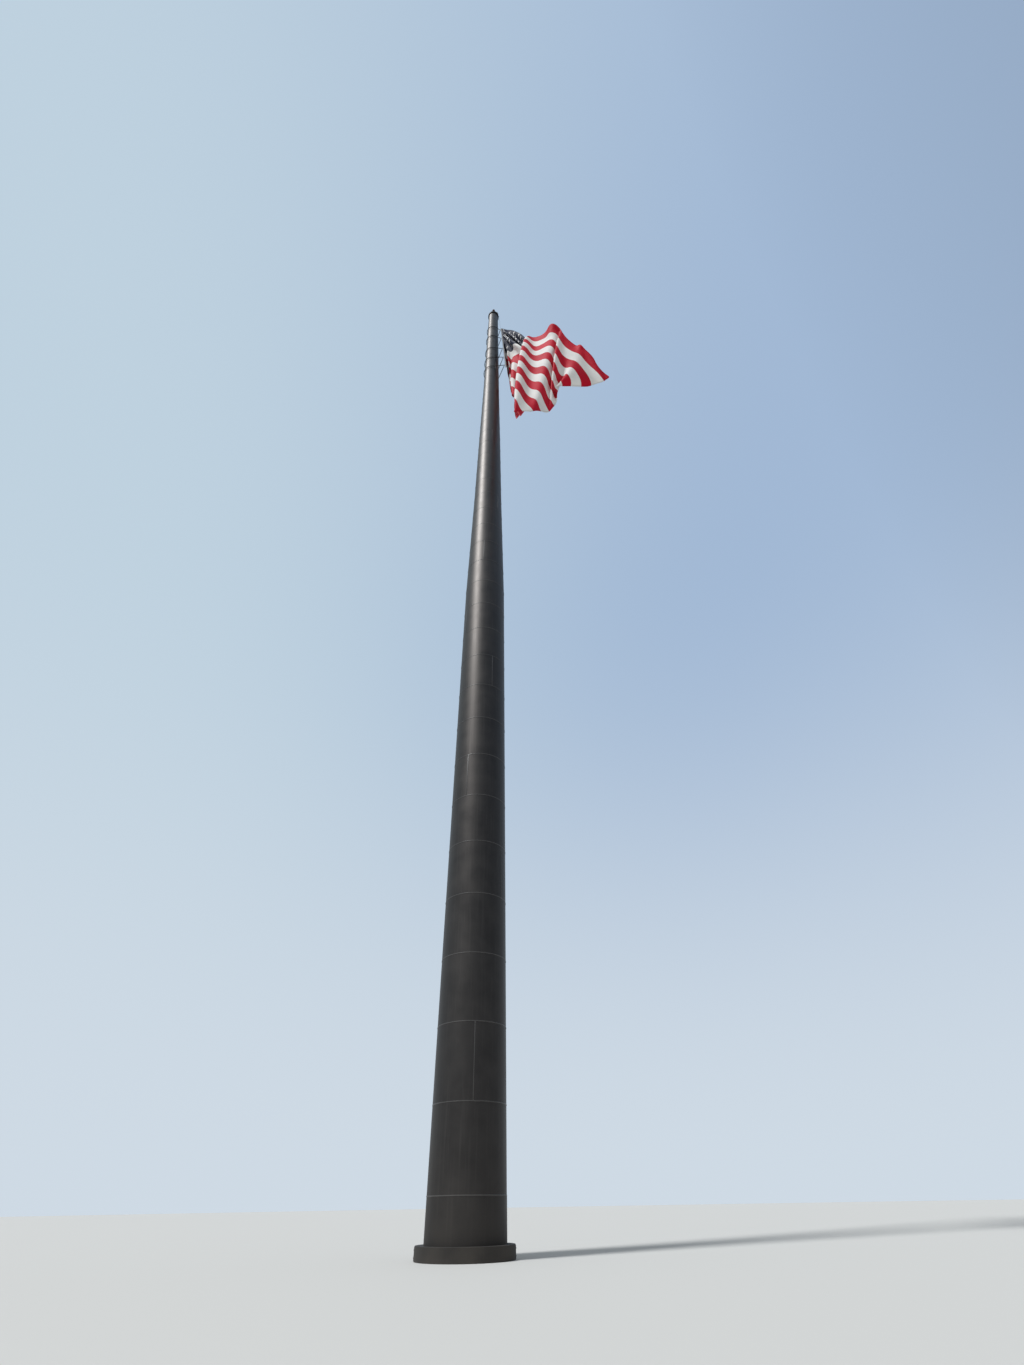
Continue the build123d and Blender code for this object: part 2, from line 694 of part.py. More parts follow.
def main():
    pieces = {"base_flange": base_flange(), "base_shroud": base_shroud()}
    pieces |= shaft_pieces()
    pieces["shaft_1"] -= hatch_block(HATCH_FRAME_WIDTH + SEAT_GAP, 0.9 * BASE_DIAMETER / 2, BASE_DIAMETER)
    pieces |= hatch_pieces()
    pieces |= head_pieces()
    pieces |= truck_pieces()
    pieces["halyard"] = halyard()
    pieces["snap_hooks"] = snap_hooks()
    pieces["flag_heading"] = heading()
    for number, height in enumerate(sling_heights(), start=1):
        pieces[f"sling_{number}"] = sling(height)
    pieces["flag"] = flag()
    os.makedirs("parts", exist_ok=True)
    for name, piece in pieces.items():
        export_step(piece, f"parts/{name}.step")


main()
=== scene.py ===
import bpy
import math
from mathutils import Matrix, Vector


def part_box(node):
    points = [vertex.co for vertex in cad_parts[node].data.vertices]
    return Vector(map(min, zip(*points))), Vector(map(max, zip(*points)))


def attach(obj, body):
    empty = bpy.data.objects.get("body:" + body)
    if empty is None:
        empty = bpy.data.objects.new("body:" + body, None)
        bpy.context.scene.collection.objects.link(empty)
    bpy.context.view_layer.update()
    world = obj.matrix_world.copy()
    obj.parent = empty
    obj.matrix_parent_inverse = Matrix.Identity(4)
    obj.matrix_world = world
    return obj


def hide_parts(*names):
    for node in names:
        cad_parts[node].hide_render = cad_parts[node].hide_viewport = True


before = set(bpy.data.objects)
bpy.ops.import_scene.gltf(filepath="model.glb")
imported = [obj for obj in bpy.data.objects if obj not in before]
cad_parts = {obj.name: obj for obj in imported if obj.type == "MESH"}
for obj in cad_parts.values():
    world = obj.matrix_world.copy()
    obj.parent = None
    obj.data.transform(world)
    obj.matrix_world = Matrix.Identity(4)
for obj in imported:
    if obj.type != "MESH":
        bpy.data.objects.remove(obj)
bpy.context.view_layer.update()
bpy.ops.object.select_all(action="DESELECT")
scene = bpy.context.scene
scene.view_settings.view_transform = "Standard"


# --- Camera ---------------------------------------------------------------------------
# A wide lens at eye height stands in front of the pole and looks up at it.
# Heading, pitch and roll are the photograph's own.
EYE = (0.0, -3.218, 0.160)
LENS = 15.07
HEADING = math.radians(4.02)
PITCH = math.radians(42.43)
ROLL = math.radians(-0.98)

bpy.ops.object.camera_add(location=EYE)
camera = bpy.context.object
camera.name = "camera"
camera.data.lens = LENS
camera.data.clip_start = 0.02
camera.data.clip_end = 400
turn = Matrix.Rotation(-HEADING, 3, "Z") @ Matrix.Rotation(math.pi / 2 + PITCH, 3, "X")
camera.rotation_euler = (turn @ Matrix.Rotation(ROLL, 3, "Z")).to_euler()
scene.camera = camera


# --- Studio ---------------------------------------------------------------------------
# A pale floor under a pale blue-grey backdrop, a high lamp from the left and a dim even
# light from all round. The backdrop is brighter at the left and darker at the front right.
FLOOR_RADIUS = 60.0
FLOOR_COLOUR = (0.60, 0.60, 0.58, 1)
BACKDROP_LOW = (0.62, 0.70, 0.78, 1)
BACKDROP_LEFT = (0.52, 0.64, 0.74, 1)
BACKDROP_RIGHT = (0.36, 0.48, 0.66, 1)
SHADE_TOWARDS = (0.75, -0.66, 0.0)
SHADE_DEPTH = 0.60
BRIGHT_BANK = 1.22
AMBIENT = (0.88, 0.94, 1.0, 1)
AMBIENT_LEVEL = 0.40
LAMP_FROM = Vector((-0.46, -0.32, 0.82))
LAMP_LEVEL = 2.8
LAMP_SOFTNESS = math.radians(9)
LAMP_DISTANCE = 20


def put(tree, kind, place, inputs=None, **settings):
    """A shader node at a place, with its settings made and its inputs set or wired."""
    node = tree.nodes.new(kind)
    node.location = place
    for key, value in settings.items():
        setattr(node, key, value)
    for key, value in (inputs or {}).items():
        if isinstance(value, bpy.types.NodeSocket):
            tree.links.new(value, node.inputs[key])
        else:
            node.inputs[key].default_value = value
    return node


def calc(tree, place, operation, *values):
    """The result of a Math node on numbers or sockets."""
    node = put(tree, "ShaderNodeMath", place, dict(enumerate(values)), operation=operation)
    return node.outputs[0]


bpy.ops.mesh.primitive_circle_add(vertices=128, radius=FLOOR_RADIUS, fill_type="NGON")
floor = bpy.context.object
floor.name = "floor"
floor_paint = bpy.data.materials.new("pale_floor")
floor_paint.use_nodes = True
floor_shader = floor_paint.node_tree.nodes["Principled BSDF"]
floor_shader.inputs["Base Color"].default_value = FLOOR_COLOUR
floor_shader.inputs["Roughness"].default_value = 0.85
floor.data.materials.append(floor_paint)

world = bpy.data.worlds.new("studio_air")
world.use_nodes = True
scene.world = world
air = world.node_tree
air.nodes.clear()
rays = put(air, "ShaderNodeLightPath", (-900, 0)).outputs
seen = calc(air, (-700, 0), "MAXIMUM", rays["Is Camera Ray"], rays["Is Glossy Ray"])
seen = calc(air, (-500, 0), "MAXIMUM", seen, rays["Is Transmission Ray"])
aim = put(air, "ShaderNodeTexCoord", (-900, -300)).outputs["Generated"]
towards = put(air, "ShaderNodeSeparateXYZ", (-900, -500), {0: aim}).outputs
aside = put(
    air, "ShaderNodeMapRange", (-700, -500), {0: towards["X"], 1: -0.55, 2: 0.45},
    interpolation_type="SMOOTHSTEP",
)
rise = put(
    air, "ShaderNodeMapRange", (-700, -700), {0: towards["Z"], 1: 0.0, 2: 0.8},
    interpolation_type="SMOOTHSTEP",
)
high = put(
    air, "ShaderNodeMix", (-500, -300), {0: aside.outputs[0], 6: BACKDROP_LEFT, 7: BACKDROP_RIGHT},
    data_type="RGBA",
)
sky = put(
    air, "ShaderNodeMix", (-350, -300), {0: rise.outputs[0], 6: BACKDROP_LOW, 7: high.outputs[2]},
    data_type="RGBA",
)
turned = put(
    air, "ShaderNodeVectorMath", (-700, -900), {0: aim, 1: SHADE_TOWARDS}, operation="DOT_PRODUCT",
).outputs["Value"]
level = put(
    air, "ShaderNodeMapRange", (-500, -900), {0: turned, 1: 0.15, 2: 0.95, 3: 1.0, 4: SHADE_DEPTH},
)
bank = put(
    air, "ShaderNodeMapRange", (-500, -1100),
    {0: towards["X"], 1: -0.65, 2: -1.0, 3: 1.0, 4: BRIGHT_BANK},
)
level = calc(air, (-350, -900), "MULTIPLY", level.outputs[0], bank.outputs[0])
backdrop = put(air, "ShaderNodeBackground", (-200, -300), {0: sky.outputs[2], 1: level})
ambient = put(air, "ShaderNodeBackground", (-200, -100), {0: AMBIENT, 1: AMBIENT_LEVEL})
either = put(
    air, "ShaderNodeMixShader", (0, 0), {0: seen, 1: ambient.outputs[0], 2: backdrop.outputs[0]},
)
put(air, "ShaderNodeOutputWorld", (200, 0), {0: either.outputs[0]})

bpy.ops.object.light_add(type="SUN", location=LAMP_FROM * LAMP_DISTANCE)
lamp = bpy.context.object
lamp.name = "high_lamp"
lamp.data.energy = LAMP_LEVEL
lamp.data.angle = LAMP_SOFTNESS
lamp.rotation_euler = LAMP_FROM.to_track_quat("Z", "Y").to_euler()


# --- Shaft ----------------------------------------------------------------------------
# Seven lengths of rolled steel plate, welded ring on ring and painted a dark bronze gloss.
# Every ring has one upright weld, and a round weld joins it to the next.
SHAFT_NODES = [f"shaft_{number}" for number in range(1, 8)]
HEAD_MARGIN = 0.002
FIRST_SEAM = 0.190
RING_HEIGHT = 0.3048
SEAM_COUNT = 39
BEAD_PROUD = 0.0013
BEAD_HALF_HEIGHT = 0.0024
UPRIGHT_WIDTH = 0.0045
UPRIGHT_PROUD = 0.0009
UPRIGHT_TURN = math.radians(137.5)
UPRIGHT_ROUND = 0.8 * UPRIGHT_PROUD
BRONZE = (0.026, 0.0238, 0.0232, 1)
BRONZE_WORN = (0.064, 0.058, 0.054, 1)
DUST = (0.080, 0.071, 0.062, 1)
SHEEN_EDGE = (1.0, 0.98, 0.96, 1)


def new_group(name, inputs, outputs):
    """An empty shader node group with named number sockets: its tree, inputs and output."""
    tree = bpy.data.node_groups.new(name, "ShaderNodeTree")
    for label, default in inputs.items():
        socket = tree.interface.new_socket(label, in_out="INPUT", socket_type="NodeSocketFloat")
        socket.default_value = default
    for label in outputs:
        tree.interface.new_socket(label, in_out="OUTPUT", socket_type="NodeSocketFloat")
    source = put(tree, "NodeGroupInput", (-1200, 0))
    return tree, source.outputs, put(tree, "NodeGroupOutput", (600, 0)).inputs


# Weathering shared by every outdoor finish: fine orange peel, cloudy mottling, streaks that
# rain leaves down an upright face, and dust thrown up near the ground.
weathering, asked, given = new_group(
    "weathering",
    {"Peel Scale": 260.0, "Mottle Scale": 9.0, "Streak Amount": 0.5},
    ["Peel", "Mottle", "Streaks", "Dust"],
)
spot = put(weathering, "ShaderNodeTexCoord", (-1200, 300)).outputs["Object"]
peel = put(
    weathering, "ShaderNodeTexNoise", (-900, 400),
    {"Vector": spot, "Scale": asked["Peel Scale"], "Detail": 2.0},
)
mottle = put(
    weathering, "ShaderNodeTexNoise", (-900, 150),
    {"Vector": spot, "Scale": asked["Mottle Scale"], "Detail": 6.0},
)
stretch = put(
    weathering, "ShaderNodeMapping", (-1000, -100), {"Vector": spot, "Scale": (1.0, 1.0, 0.035)},
)
runs = put(
    weathering, "ShaderNodeTexNoise", (-800, -100),
    {"Vector": stretch.outputs[0], "Scale": 95.0, "Detail": 3.0},
)
streaks = put(
    weathering, "ShaderNodeMapRange", (-500, -100), {0: runs.outputs[0], 1: 0.52, 2: 0.74}
)
streaks = calc(weathering, (-250, -100), "MULTIPLY", streaks.outputs[0], asked["Streak Amount"])
lift = put(weathering, "ShaderNodeSeparateXYZ", (-900, -400), {0: spot}).outputs["Z"]
near = put(
    weathering, "ShaderNodeMapRange", (-700, -400), {0: lift, 1: 0.0, 2: 0.55, 3: 1.0, 4: 0.0},
)
near = calc(weathering, (-500, -400), "POWER", near.outputs[0], 3.0)
dust = calc(weathering, (-250, -400), "MULTIPLY", near, mottle.outputs[0])
for key, value in zip(
    ("Peel", "Mottle", "Streaks", "Dust"), (peel.outputs[0], mottle.outputs[0], streaks, dust),
):
    weathering.links.new(value, given[key])


def weathered_paint(name, colour, worn, roughness, peel_depth, streak=0.5, uniform=None):
    """A coat of outdoor paint that clouds, streaks and gathers dust, with its even values."""
    material = bpy.data.materials.new(name)
    material.use_nodes = True
    tree = material.node_tree
    shader = tree.nodes["Principled BSDF"]
    for key, value in (uniform or {}).items():
        shader.inputs[key].default_value = value
    marks = put(
        tree, "ShaderNodeGroup", (-1000, 0), {"Streak Amount": streak}, node_tree=weathering,
    )
    marks = marks.outputs
    cloud = put(
        tree, "ShaderNodeMix", (-600, 200), {0: marks["Mottle"], 6: colour, 7: worn},
        data_type="RGBA",
    )
    rain = put(
        tree, "ShaderNodeMix", (-400, 200), {0: marks["Streaks"], 6: cloud.outputs[2], 7: worn},
        data_type="RGBA",
    )
    soil = put(
        tree, "ShaderNodeMix", (-200, 200), {0: marks["Dust"], 6: rain.outputs[2], 7: DUST},
        data_type="RGBA",
    )
    tree.links.new(soil.outputs[2], shader.inputs["Base Color"])
    dull = put(
        tree, "ShaderNodeMapRange", (-400, -50),
        {0: marks["Mottle"], 1: 0.3, 2: 0.7, 3: roughness - 0.02, 4: roughness + 0.04},
    )
    dull = calc(tree, (-200, -50), "MULTIPLY_ADD", marks["Dust"], 0.5, dull.outputs[0])
    tree.links.new(dull, shader.inputs["Roughness"])
    grain = put(
        tree, "ShaderNodeBump", (-200, -300),
        {"Height": marks["Peel"], "Distance": peel_depth, "Strength": 0.5},
    )
    tree.links.new(grain.outputs[0], shader.inputs["Normal"])
    return material


def dress(material, *nodes):
    """Gives CAD nodes a material in place of their own."""
    for name in nodes:
        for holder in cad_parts[name].material_slots:
            holder.material = material


def settle(piece, name, material, body, smooth=math.radians(35)):
    """Names a new piece, moves its place into its mesh, smooths it and ties it to the frame."""
    bpy.ops.object.select_all(action="DESELECT")
    piece.select_set(True)
    bpy.context.view_layer.objects.active = piece
    bpy.ops.object.transform_apply(location=True, rotation=True, scale=True)
    bpy.ops.object.mode_set(mode="EDIT")
    bpy.ops.mesh.select_all(action="SELECT")
    bpy.ops.mesh.normals_make_consistent(inside=False)
    bpy.ops.object.mode_set(mode="OBJECT")
    bpy.ops.object.shade_smooth_by_angle(angle=smooth)
    piece.name = name
    piece.data.materials.clear()
    piece.data.materials.append(material)
    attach(piece, body)
    piece.select_set(False)
    return piece


def copies(piece, places):
    """One mesh object made of a modelled shape repeated at each place; the pattern piece goes."""
    bpy.ops.object.select_all(action="DESELECT")
    made = []
    for place in places:
        twin = piece.copy()
        twin.data = piece.data.copy()
        twin.matrix_world = place @ piece.matrix_world
        scene.collection.objects.link(twin)
        twin.select_set(True)
        made.append(twin)
    bpy.context.view_layer.objects.active = made[0]
    bpy.ops.object.join()
    bpy.data.objects.remove(piece)
    return made[0]


shaft_rings = [(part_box(name)[0][2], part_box(name)[1][0]) for name in SHAFT_NODES]
head_low, head_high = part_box("head_plate")
shaft_rings.append((head_low[2], head_high[0] - HEAD_MARGIN))


def shaft_radius(height):
    """Outer radius of the shaft at a height, between the CAD lengths' own ends."""
    for (low, wide), (high, narrow) in zip(shaft_rings, shaft_rings[1:]):
        if height <= high:
            return wide + (narrow - wide) * max(0.0, (height - low) / (high - low))
    return shaft_rings[-1][1]


bronze = weathered_paint(
    "bronze_paint", BRONZE, BRONZE_WORN, 0.47, 0.00003,
    uniform={"Metallic": 0.85, "Specular Tint": SHEEN_EDGE},
)
dress(bronze, *SHAFT_NODES, "head_plate")

seam_heights = [FIRST_SEAM + number * RING_HEIGHT for number in range(SEAM_COUNT)]
seams = []
for height in seam_heights:
    bpy.ops.mesh.primitive_torus_add(
        major_radius=shaft_radius(height), minor_radius=BEAD_PROUD, major_segments=96, minor_segments=8
    )
    bead = bpy.context.object
    bead.scale = (1, 1, BEAD_HALF_HEIGHT / BEAD_PROUD)
    bead.location = (0, 0, height)
    bpy.ops.object.transform_apply(location=True, rotation=True, scale=True)
    seams.append(bead)
ring_ends = [shaft_rings[0][0]] + seam_heights + [head_low[2]]
for number, (low, high) in enumerate(zip(ring_ends, ring_ends[1:])):
    bpy.ops.mesh.primitive_cube_add(size=1)
    upright = bpy.context.object
    upright.scale = (2 * UPRIGHT_PROUD, UPRIGHT_WIDTH, high - low)
    bpy.ops.object.transform_apply(location=True, rotation=True, scale=True)
    bpy.ops.object.mode_set(mode="EDIT")
    bpy.ops.mesh.select_all(action="SELECT")
    bpy.ops.mesh.bevel(offset=UPRIGHT_ROUND, segments=2, affect="EDGES")
    bpy.ops.object.mode_set(mode="OBJECT")
    reach = (shaft_radius(low), shaft_radius(high))
    lean = math.atan2(reach[0] - reach[1], high - low)
    place = Matrix.Rotation(number * UPRIGHT_TURN, 4, "Z")
    place @= Matrix.Translation((
        sum(reach) / 2, 0, (low + high) / 2,
    )) @ Matrix.Rotation(-lean, 4, "Y")
    upright.matrix_world = place
    seams.append(upright)
bpy.ops.object.select_all(action="DESELECT")
for bead in seams:
    bead.select_set(True)
bpy.context.view_layer.objects.active = seams[0]
bpy.ops.object.join()
weld_paint = weathered_paint("weld_paint", BRONZE, BRONZE_WORN, 0.42, 0.0004)
settle(seams[0], "ring_welds", weld_paint, "pole")


# --- Foot -----------------------------------------------------------------------------
# A drilled flange stands on the anchor bolts, under a rolled plate shroud made in two halves.
# The halves are screwed together through a cover strip on each side.
SHROUD_BLACK = (0.006, 0.0058, 0.0058, 1)
SHROUD_WORN = (0.022, 0.020, 0.018, 1)
STRIP_WIDTH = 0.012
STRIP_THICKNESS = 0.0012
STRIP_HEIGHT_SHARE = 0.9
STRIP_MIDDLE_SHARE = 0.47
STRIP_ROUND = 0.0006
SCREW_RADIUS = 0.0021
SCREW_HEIGHT = 0.0012
SCREW_LEVELS = (0.22, 0.72)
STEEL_DARK = (0.055, 0.055, 0.060, 1)
STEEL_WORN = (0.13, 0.12, 0.11, 1)

shroud_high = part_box("base_shroud")[1]
shroud_radius = shroud_high[0]
shroud_paint = weathered_paint(
    "shroud_paint", SHROUD_BLACK, SHROUD_WORN, 0.50, 0.0002, uniform={"Specular IOR Level": 0.25}
)
dress(shroud_paint, "base_shroud", "base_flange")

bpy.ops.mesh.primitive_cube_add(size=1)
strip = bpy.context.object
strip.scale = (STRIP_THICKNESS * 2, STRIP_WIDTH, shroud_high[2] * STRIP_HEIGHT_SHARE)
strip.location = (shroud_radius, 0, shroud_high[2] * STRIP_MIDDLE_SHARE)
bpy.ops.object.transform_apply(location=True, rotation=True, scale=True)
bpy.ops.object.mode_set(mode="EDIT")
bpy.ops.mesh.select_all(action="SELECT")
bpy.ops.mesh.bevel(offset=STRIP_ROUND, segments=2, affect="EDGES")
bpy.ops.object.mode_set(mode="OBJECT")
strips = copies(strip, [Matrix.Rotation(angle, 4, "Z") for angle in (0.0, math.pi)])
settle(strips, "shroud_strips", shroud_paint, "pole")


def button_screw(radius, height):
    """A domed screw head with a hexagon socket, standing on z = 0."""
    bpy.ops.mesh.primitive_cylinder_add(
        vertices=18, radius=radius, depth=height, location=(0, 0, height / 2),
    )
    screw = bpy.context.object
    bpy.ops.object.transform_apply(location=True, rotation=True, scale=True)
    bpy.ops.object.mode_set(mode="EDIT")
    bpy.ops.mesh.select_all(action="DESELECT")
    bpy.ops.mesh.select_mode(type="FACE")
    bpy.ops.object.mode_set(mode="OBJECT")
    for face in screw.data.polygons:
        face.select = face.normal.z > 0.9
    bpy.ops.object.mode_set(mode="EDIT")
    bpy.ops.mesh.inset(thickness=radius * 0.35, depth=height * 0.35)
    bpy.ops.mesh.inset(thickness=radius * 0.2, depth=0)
    bpy.ops.mesh.inset(thickness=radius * 0.03, depth=-height * 0.6)
    bpy.ops.object.mode_set(mode="OBJECT")
    return screw


dark_steel = weathered_paint(
    "dark_steel", STEEL_DARK, STEEL_WORN, 0.42, 0.00015, uniform={"Metallic": 0.7}
)
face_out = Matrix.Rotation(math.pi / 2, 4, "Y")
screw_places = []
for side in (0.0, math.pi):
    for height in SCREW_LEVELS:
        seat = Matrix.Translation((shroud_radius + STRIP_THICKNESS, 0, shroud_high[2] * height))
        screw_places.append(Matrix.Rotation(side, 4, "Z") @ seat @ face_out)
screws = copies(button_screw(SCREW_RADIUS, SCREW_HEIGHT), screw_places)
settle(screws, "shroud_screws", dark_steel, "pole")


# --- Service hatch --------------------------------------------------------------------
# The hatch at the back gives a hand the halyard winch inside: a welded frame, a hinged
# cover held by small screws, and a pull handle.
HATCH_SCREWS = ((-0.026, 0.072), (-0.026, 0.164), (0.0, 0.066), (0.0, 0.170))
dress(bronze, "hatch_frame", "hatch_cover")
dress(dark_steel, "hatch_hinges", "hatch_handle")
cover_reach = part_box("hatch_cover")[1][1]
screw_places = []
for across, height in HATCH_SCREWS:
    bearing = math.pi / 2 - math.asin(across / cover_reach)
    seat = Matrix.Rotation(bearing, 4, "Z") @ Matrix.Translation((
        cover_reach, 0, height,
    )) @ face_out
    screw_places.append(seat)
settle(
    copies(button_screw(SCREW_RADIUS, SCREW_HEIGHT), screw_places), "hatch_screws", dark_steel,
    "pole",
)


# --- Truck ----------------------------------------------------------------------------
# The revolving head: a spun steel rim and deck on a slewing ring, a weather housing over the
# sheave, and bolts round the deck. The fixed spindle stands in its middle.
TRUCK_BLACK = (0.008, 0.008, 0.009, 1)
TRUCK_WORN = (0.030, 0.029, 0.028, 1)
HOUSING_GREY = (0.16, 0.165, 0.175, 1)
HOUSING_WORN = (0.30, 0.30, 0.29, 1)
BOLT_COUNT = 16
BOLT_RADIUS = 0.0036
BOLT_HEIGHT = 0.0030
BOLT_INSET = 0.009
BEARING_STEEL = (0.42, 0.42, 0.43, 1)

truck_paint = weathered_paint(
    "truck_paint", TRUCK_BLACK, TRUCK_WORN, 0.62, 0.0002, uniform={"Specular IOR Level": 0.10}
)
housing_paint = weathered_paint("housing_paint", HOUSING_GREY, HOUSING_WORN, 0.40, 0.0002, 0.8)
dress(truck_paint, "truck_rim", "sheave_cheeks")
dress(housing_paint, "truck_housing")


def machined_steel(name, colour, roughness, rings):
    """Turned steel with fine tool marks about the pole's axis and smears of old grease."""
    material = bpy.data.materials.new(name)
    material.use_nodes = True
    tree = material.node_tree
    shader = tree.nodes["Principled BSDF"]
    shader.inputs["Metallic"].default_value = 1.0
    spot = put(tree, "ShaderNodeTexCoord", (-1200, 0)).outputs["Object"]
    marks = put(
        tree, "ShaderNodeTexWave", (-900, 0),
        {"Vector": spot, "Scale": rings, "Distortion": 1.5, "Detail": 2.0}, bands_direction="Z",
    )
    smear = put(
        tree, "ShaderNodeTexNoise", (-900, -300), {"Vector": spot, "Scale": 30.0, "Detail": 5.0},
    )
    dark = tuple(0.35 * part for part in colour[:3]) + (1,)
    grease = put(tree, "ShaderNodeMapRange", (-700, -300), {0: smear.outputs[0], 1: 0.45, 2: 0.65})
    tint = put(
        tree, "ShaderNodeMix", (-400, 100), {0: grease.outputs[0], 6: colour, 7: dark},
        data_type="RGBA",
    )
    tree.links.new(tint.outputs[2], shader.inputs["Base Color"])
    dull = calc(tree, (-400, -200), "MULTIPLY_ADD", grease.outputs[0], 0.2, roughness)
    tree.links.new(dull, shader.inputs["Roughness"])
    bump = put(
        tree, "ShaderNodeBump", (-200, -400),
        {"Height": marks.outputs[1], "Distance": 0.0001, "Strength": 0.4},
    )
    tree.links.new(bump.outputs[0], shader.inputs["Normal"])
    return material


bearing_steel = machined_steel("bearing_steel", BEARING_STEEL, 0.34, 300.0)
dress(bearing_steel, "bearing_race", "slewing_ring", "sheave", "sheave_pin")
dress(housing_paint, "spindle")

rim_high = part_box("truck_rim")[1]


def hex_bolt(radius, height):
    """A hexagon bolt head on a washer, standing on z = 0."""
    bpy.ops.mesh.primitive_cylinder_add(
        vertices=24, radius=radius * 1.35, depth=height * 0.3, location=(0, 0, height * 0.15),
    )
    washer = bpy.context.object
    bpy.ops.object.mode_set(mode="EDIT")
    bpy.ops.mesh.select_all(action="SELECT")
    bpy.ops.mesh.bevel(offset=height * 0.06, segments=1, affect="EDGES")
    bpy.ops.object.mode_set(mode="OBJECT")
    bpy.ops.mesh.primitive_cylinder_add(
        vertices=6, radius=radius, depth=height * 0.75, location=(0, 0, height * 0.63),
    )
    head = bpy.context.object
    bpy.ops.object.mode_set(mode="EDIT")
    bpy.ops.mesh.select_all(action="SELECT")
    bpy.ops.mesh.bevel(offset=height * 0.1, segments=1, affect="EDGES")
    bpy.ops.object.mode_set(mode="OBJECT")
    washer.select_set(True)
    bpy.ops.object.join()
    bpy.ops.object.transform_apply(location=True, rotation=True, scale=True)
    return head


places = []
for number in range(BOLT_COUNT):
    angle = 2 * math.pi * (number + 0.5) / BOLT_COUNT
    places.append(Matrix.Rotation(angle, 4, "Z") @ Matrix.Translation((
        rim_high[0] - BOLT_INSET, 0, rim_high[2],
    )))
settle(
    copies(hex_bolt(BOLT_RADIUS, BOLT_HEIGHT), places), "deck_bolts", dark_steel, "truck",
)


# --- Beacon and lightning rod -----------------------------------------------------------
# An aviation light on the fixed spindle: a painted base, a moulded red lens with prism ribs,
# a cap, and a copper alloy rod above.
LENS_RIBS = 9
RIB_DEPTH = 0.0022
COPPER = (0.42, 0.24, 0.15, 1)
LENS_RED = (0.50, 0.012, 0.008, 1)
LENS_FADED = (0.32, 0.03, 0.02, 1)

copper = machined_steel("copper_rod", COPPER, 0.45, 400.0)
dress(truck_paint, "beacon_base", "beacon_cap")
dress(copper, "lightning_rod")

lens_low, lens_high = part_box("beacon_lens")
lens_height = lens_high[2] - lens_low[2]
bpy.ops.mesh.primitive_cylinder_add(
    vertices=64, radius=lens_high[0] - RIB_DEPTH, depth=lens_height, end_fill_type="NGON",
    location=(0, 0, (lens_low[2] + lens_high[2]) / 2),
)
lens = bpy.context.object
bpy.ops.object.transform_apply(location=True, rotation=True, scale=True)
bpy.ops.object.mode_set(mode="EDIT")
for cut in range(1, 2 * LENS_RIBS):
    bpy.ops.mesh.select_all(action="SELECT")
    bpy.ops.mesh.bisect(
        plane_co=(0, 0, lens_low[2] + lens_height * cut / (2 * LENS_RIBS)), plane_no=(0, 0, 1),
    )
bpy.ops.object.mode_set(mode="OBJECT")
for vertex in lens.data.vertices:
    share = (vertex.co.z - lens_low[2]) / lens_height * 2 * LENS_RIBS
    if round(share) % 2:
        reach = math.hypot(vertex.co.x, vertex.co.y)
        vertex.co.x *= (reach + RIB_DEPTH) / reach
        vertex.co.y *= (reach + RIB_DEPTH) / reach
glass = bpy.data.materials.new("beacon_glass")
glass.use_nodes = True
glass_tree = glass.node_tree
glass_shader = glass_tree.nodes["Principled BSDF"]
glass_shader.inputs["IOR"].default_value = 1.49
glass_shader.inputs["Transmission Weight"].default_value = 0.35
spot = put(glass_tree, "ShaderNodeTexCoord", (-1000, 0)).outputs["Object"]
haze = put(
    glass_tree, "ShaderNodeTexNoise", (-800, 0), {"Vector": spot, "Scale": 60.0, "Detail": 4.0},
)
tint = put(
    glass_tree, "ShaderNodeMix", (-500, 100), {0: haze.outputs[0], 6: LENS_RED, 7: LENS_FADED},
    data_type="RGBA",
)
glass_tree.links.new(tint.outputs[2], glass_shader.inputs["Base Color"])
cloudy = put(glass_tree, "ShaderNodeMapRange", (-500, -200), {0: haze.outputs[0], 3: 0.08, 4: 0.3})
glass_tree.links.new(cloudy.outputs[0], glass_shader.inputs["Roughness"])
settle(lens, "beacon_glass", glass, "pole", math.radians(50))
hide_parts("beacon_lens")


# --- Halyard --------------------------------------------------------------------------
# Galvanised wire rope, six strands laid round each other, its near-black colour painted shade.
# It rises inside the truck, runs over the sheave and falls taut to the flag's lower corner.
ROPE_RADIUS = 0.00125
ROPE_LAY = 0.016
ROPE_STRANDS = 6
STRAND_HOLLOW = 0.72
RINGS_PER_LAY = 8
HALYARD_FOOT = Vector((0.193, -0.150, 9.225))
OVER_SHEAVE = 16
INNER_FALL = 0.054
# Near-black rope colours: painted shade along the hoist line.
ROPE_PAINTED_SHADE = (0.022, 0.021, 0.021, 1)
ROPE_WORN_PAINTED_SHADE = (0.10, 0.095, 0.09, 1)

sheave_low, sheave_high = (Vector(corner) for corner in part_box("sheave"))
sheave_centre = (sheave_low + sheave_high) / 2
halyard_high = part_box("halyard")[1]
wrap = halyard_high[2] - ROPE_RADIUS - sheave_centre.z
rope_line = [Vector((sheave_centre.x - wrap, 0, halyard_high[2] - wrap - INNER_FALL))]
for step in range(OVER_SHEAVE + 1):
    angle = math.pi * (1 - step / OVER_SHEAVE)
    rope_line.append(sheave_centre + Vector((wrap * math.cos(angle), 0, wrap * math.sin(angle))))
halyard_top = rope_line[-1]
rope_line.append(HALYARD_FOOT)


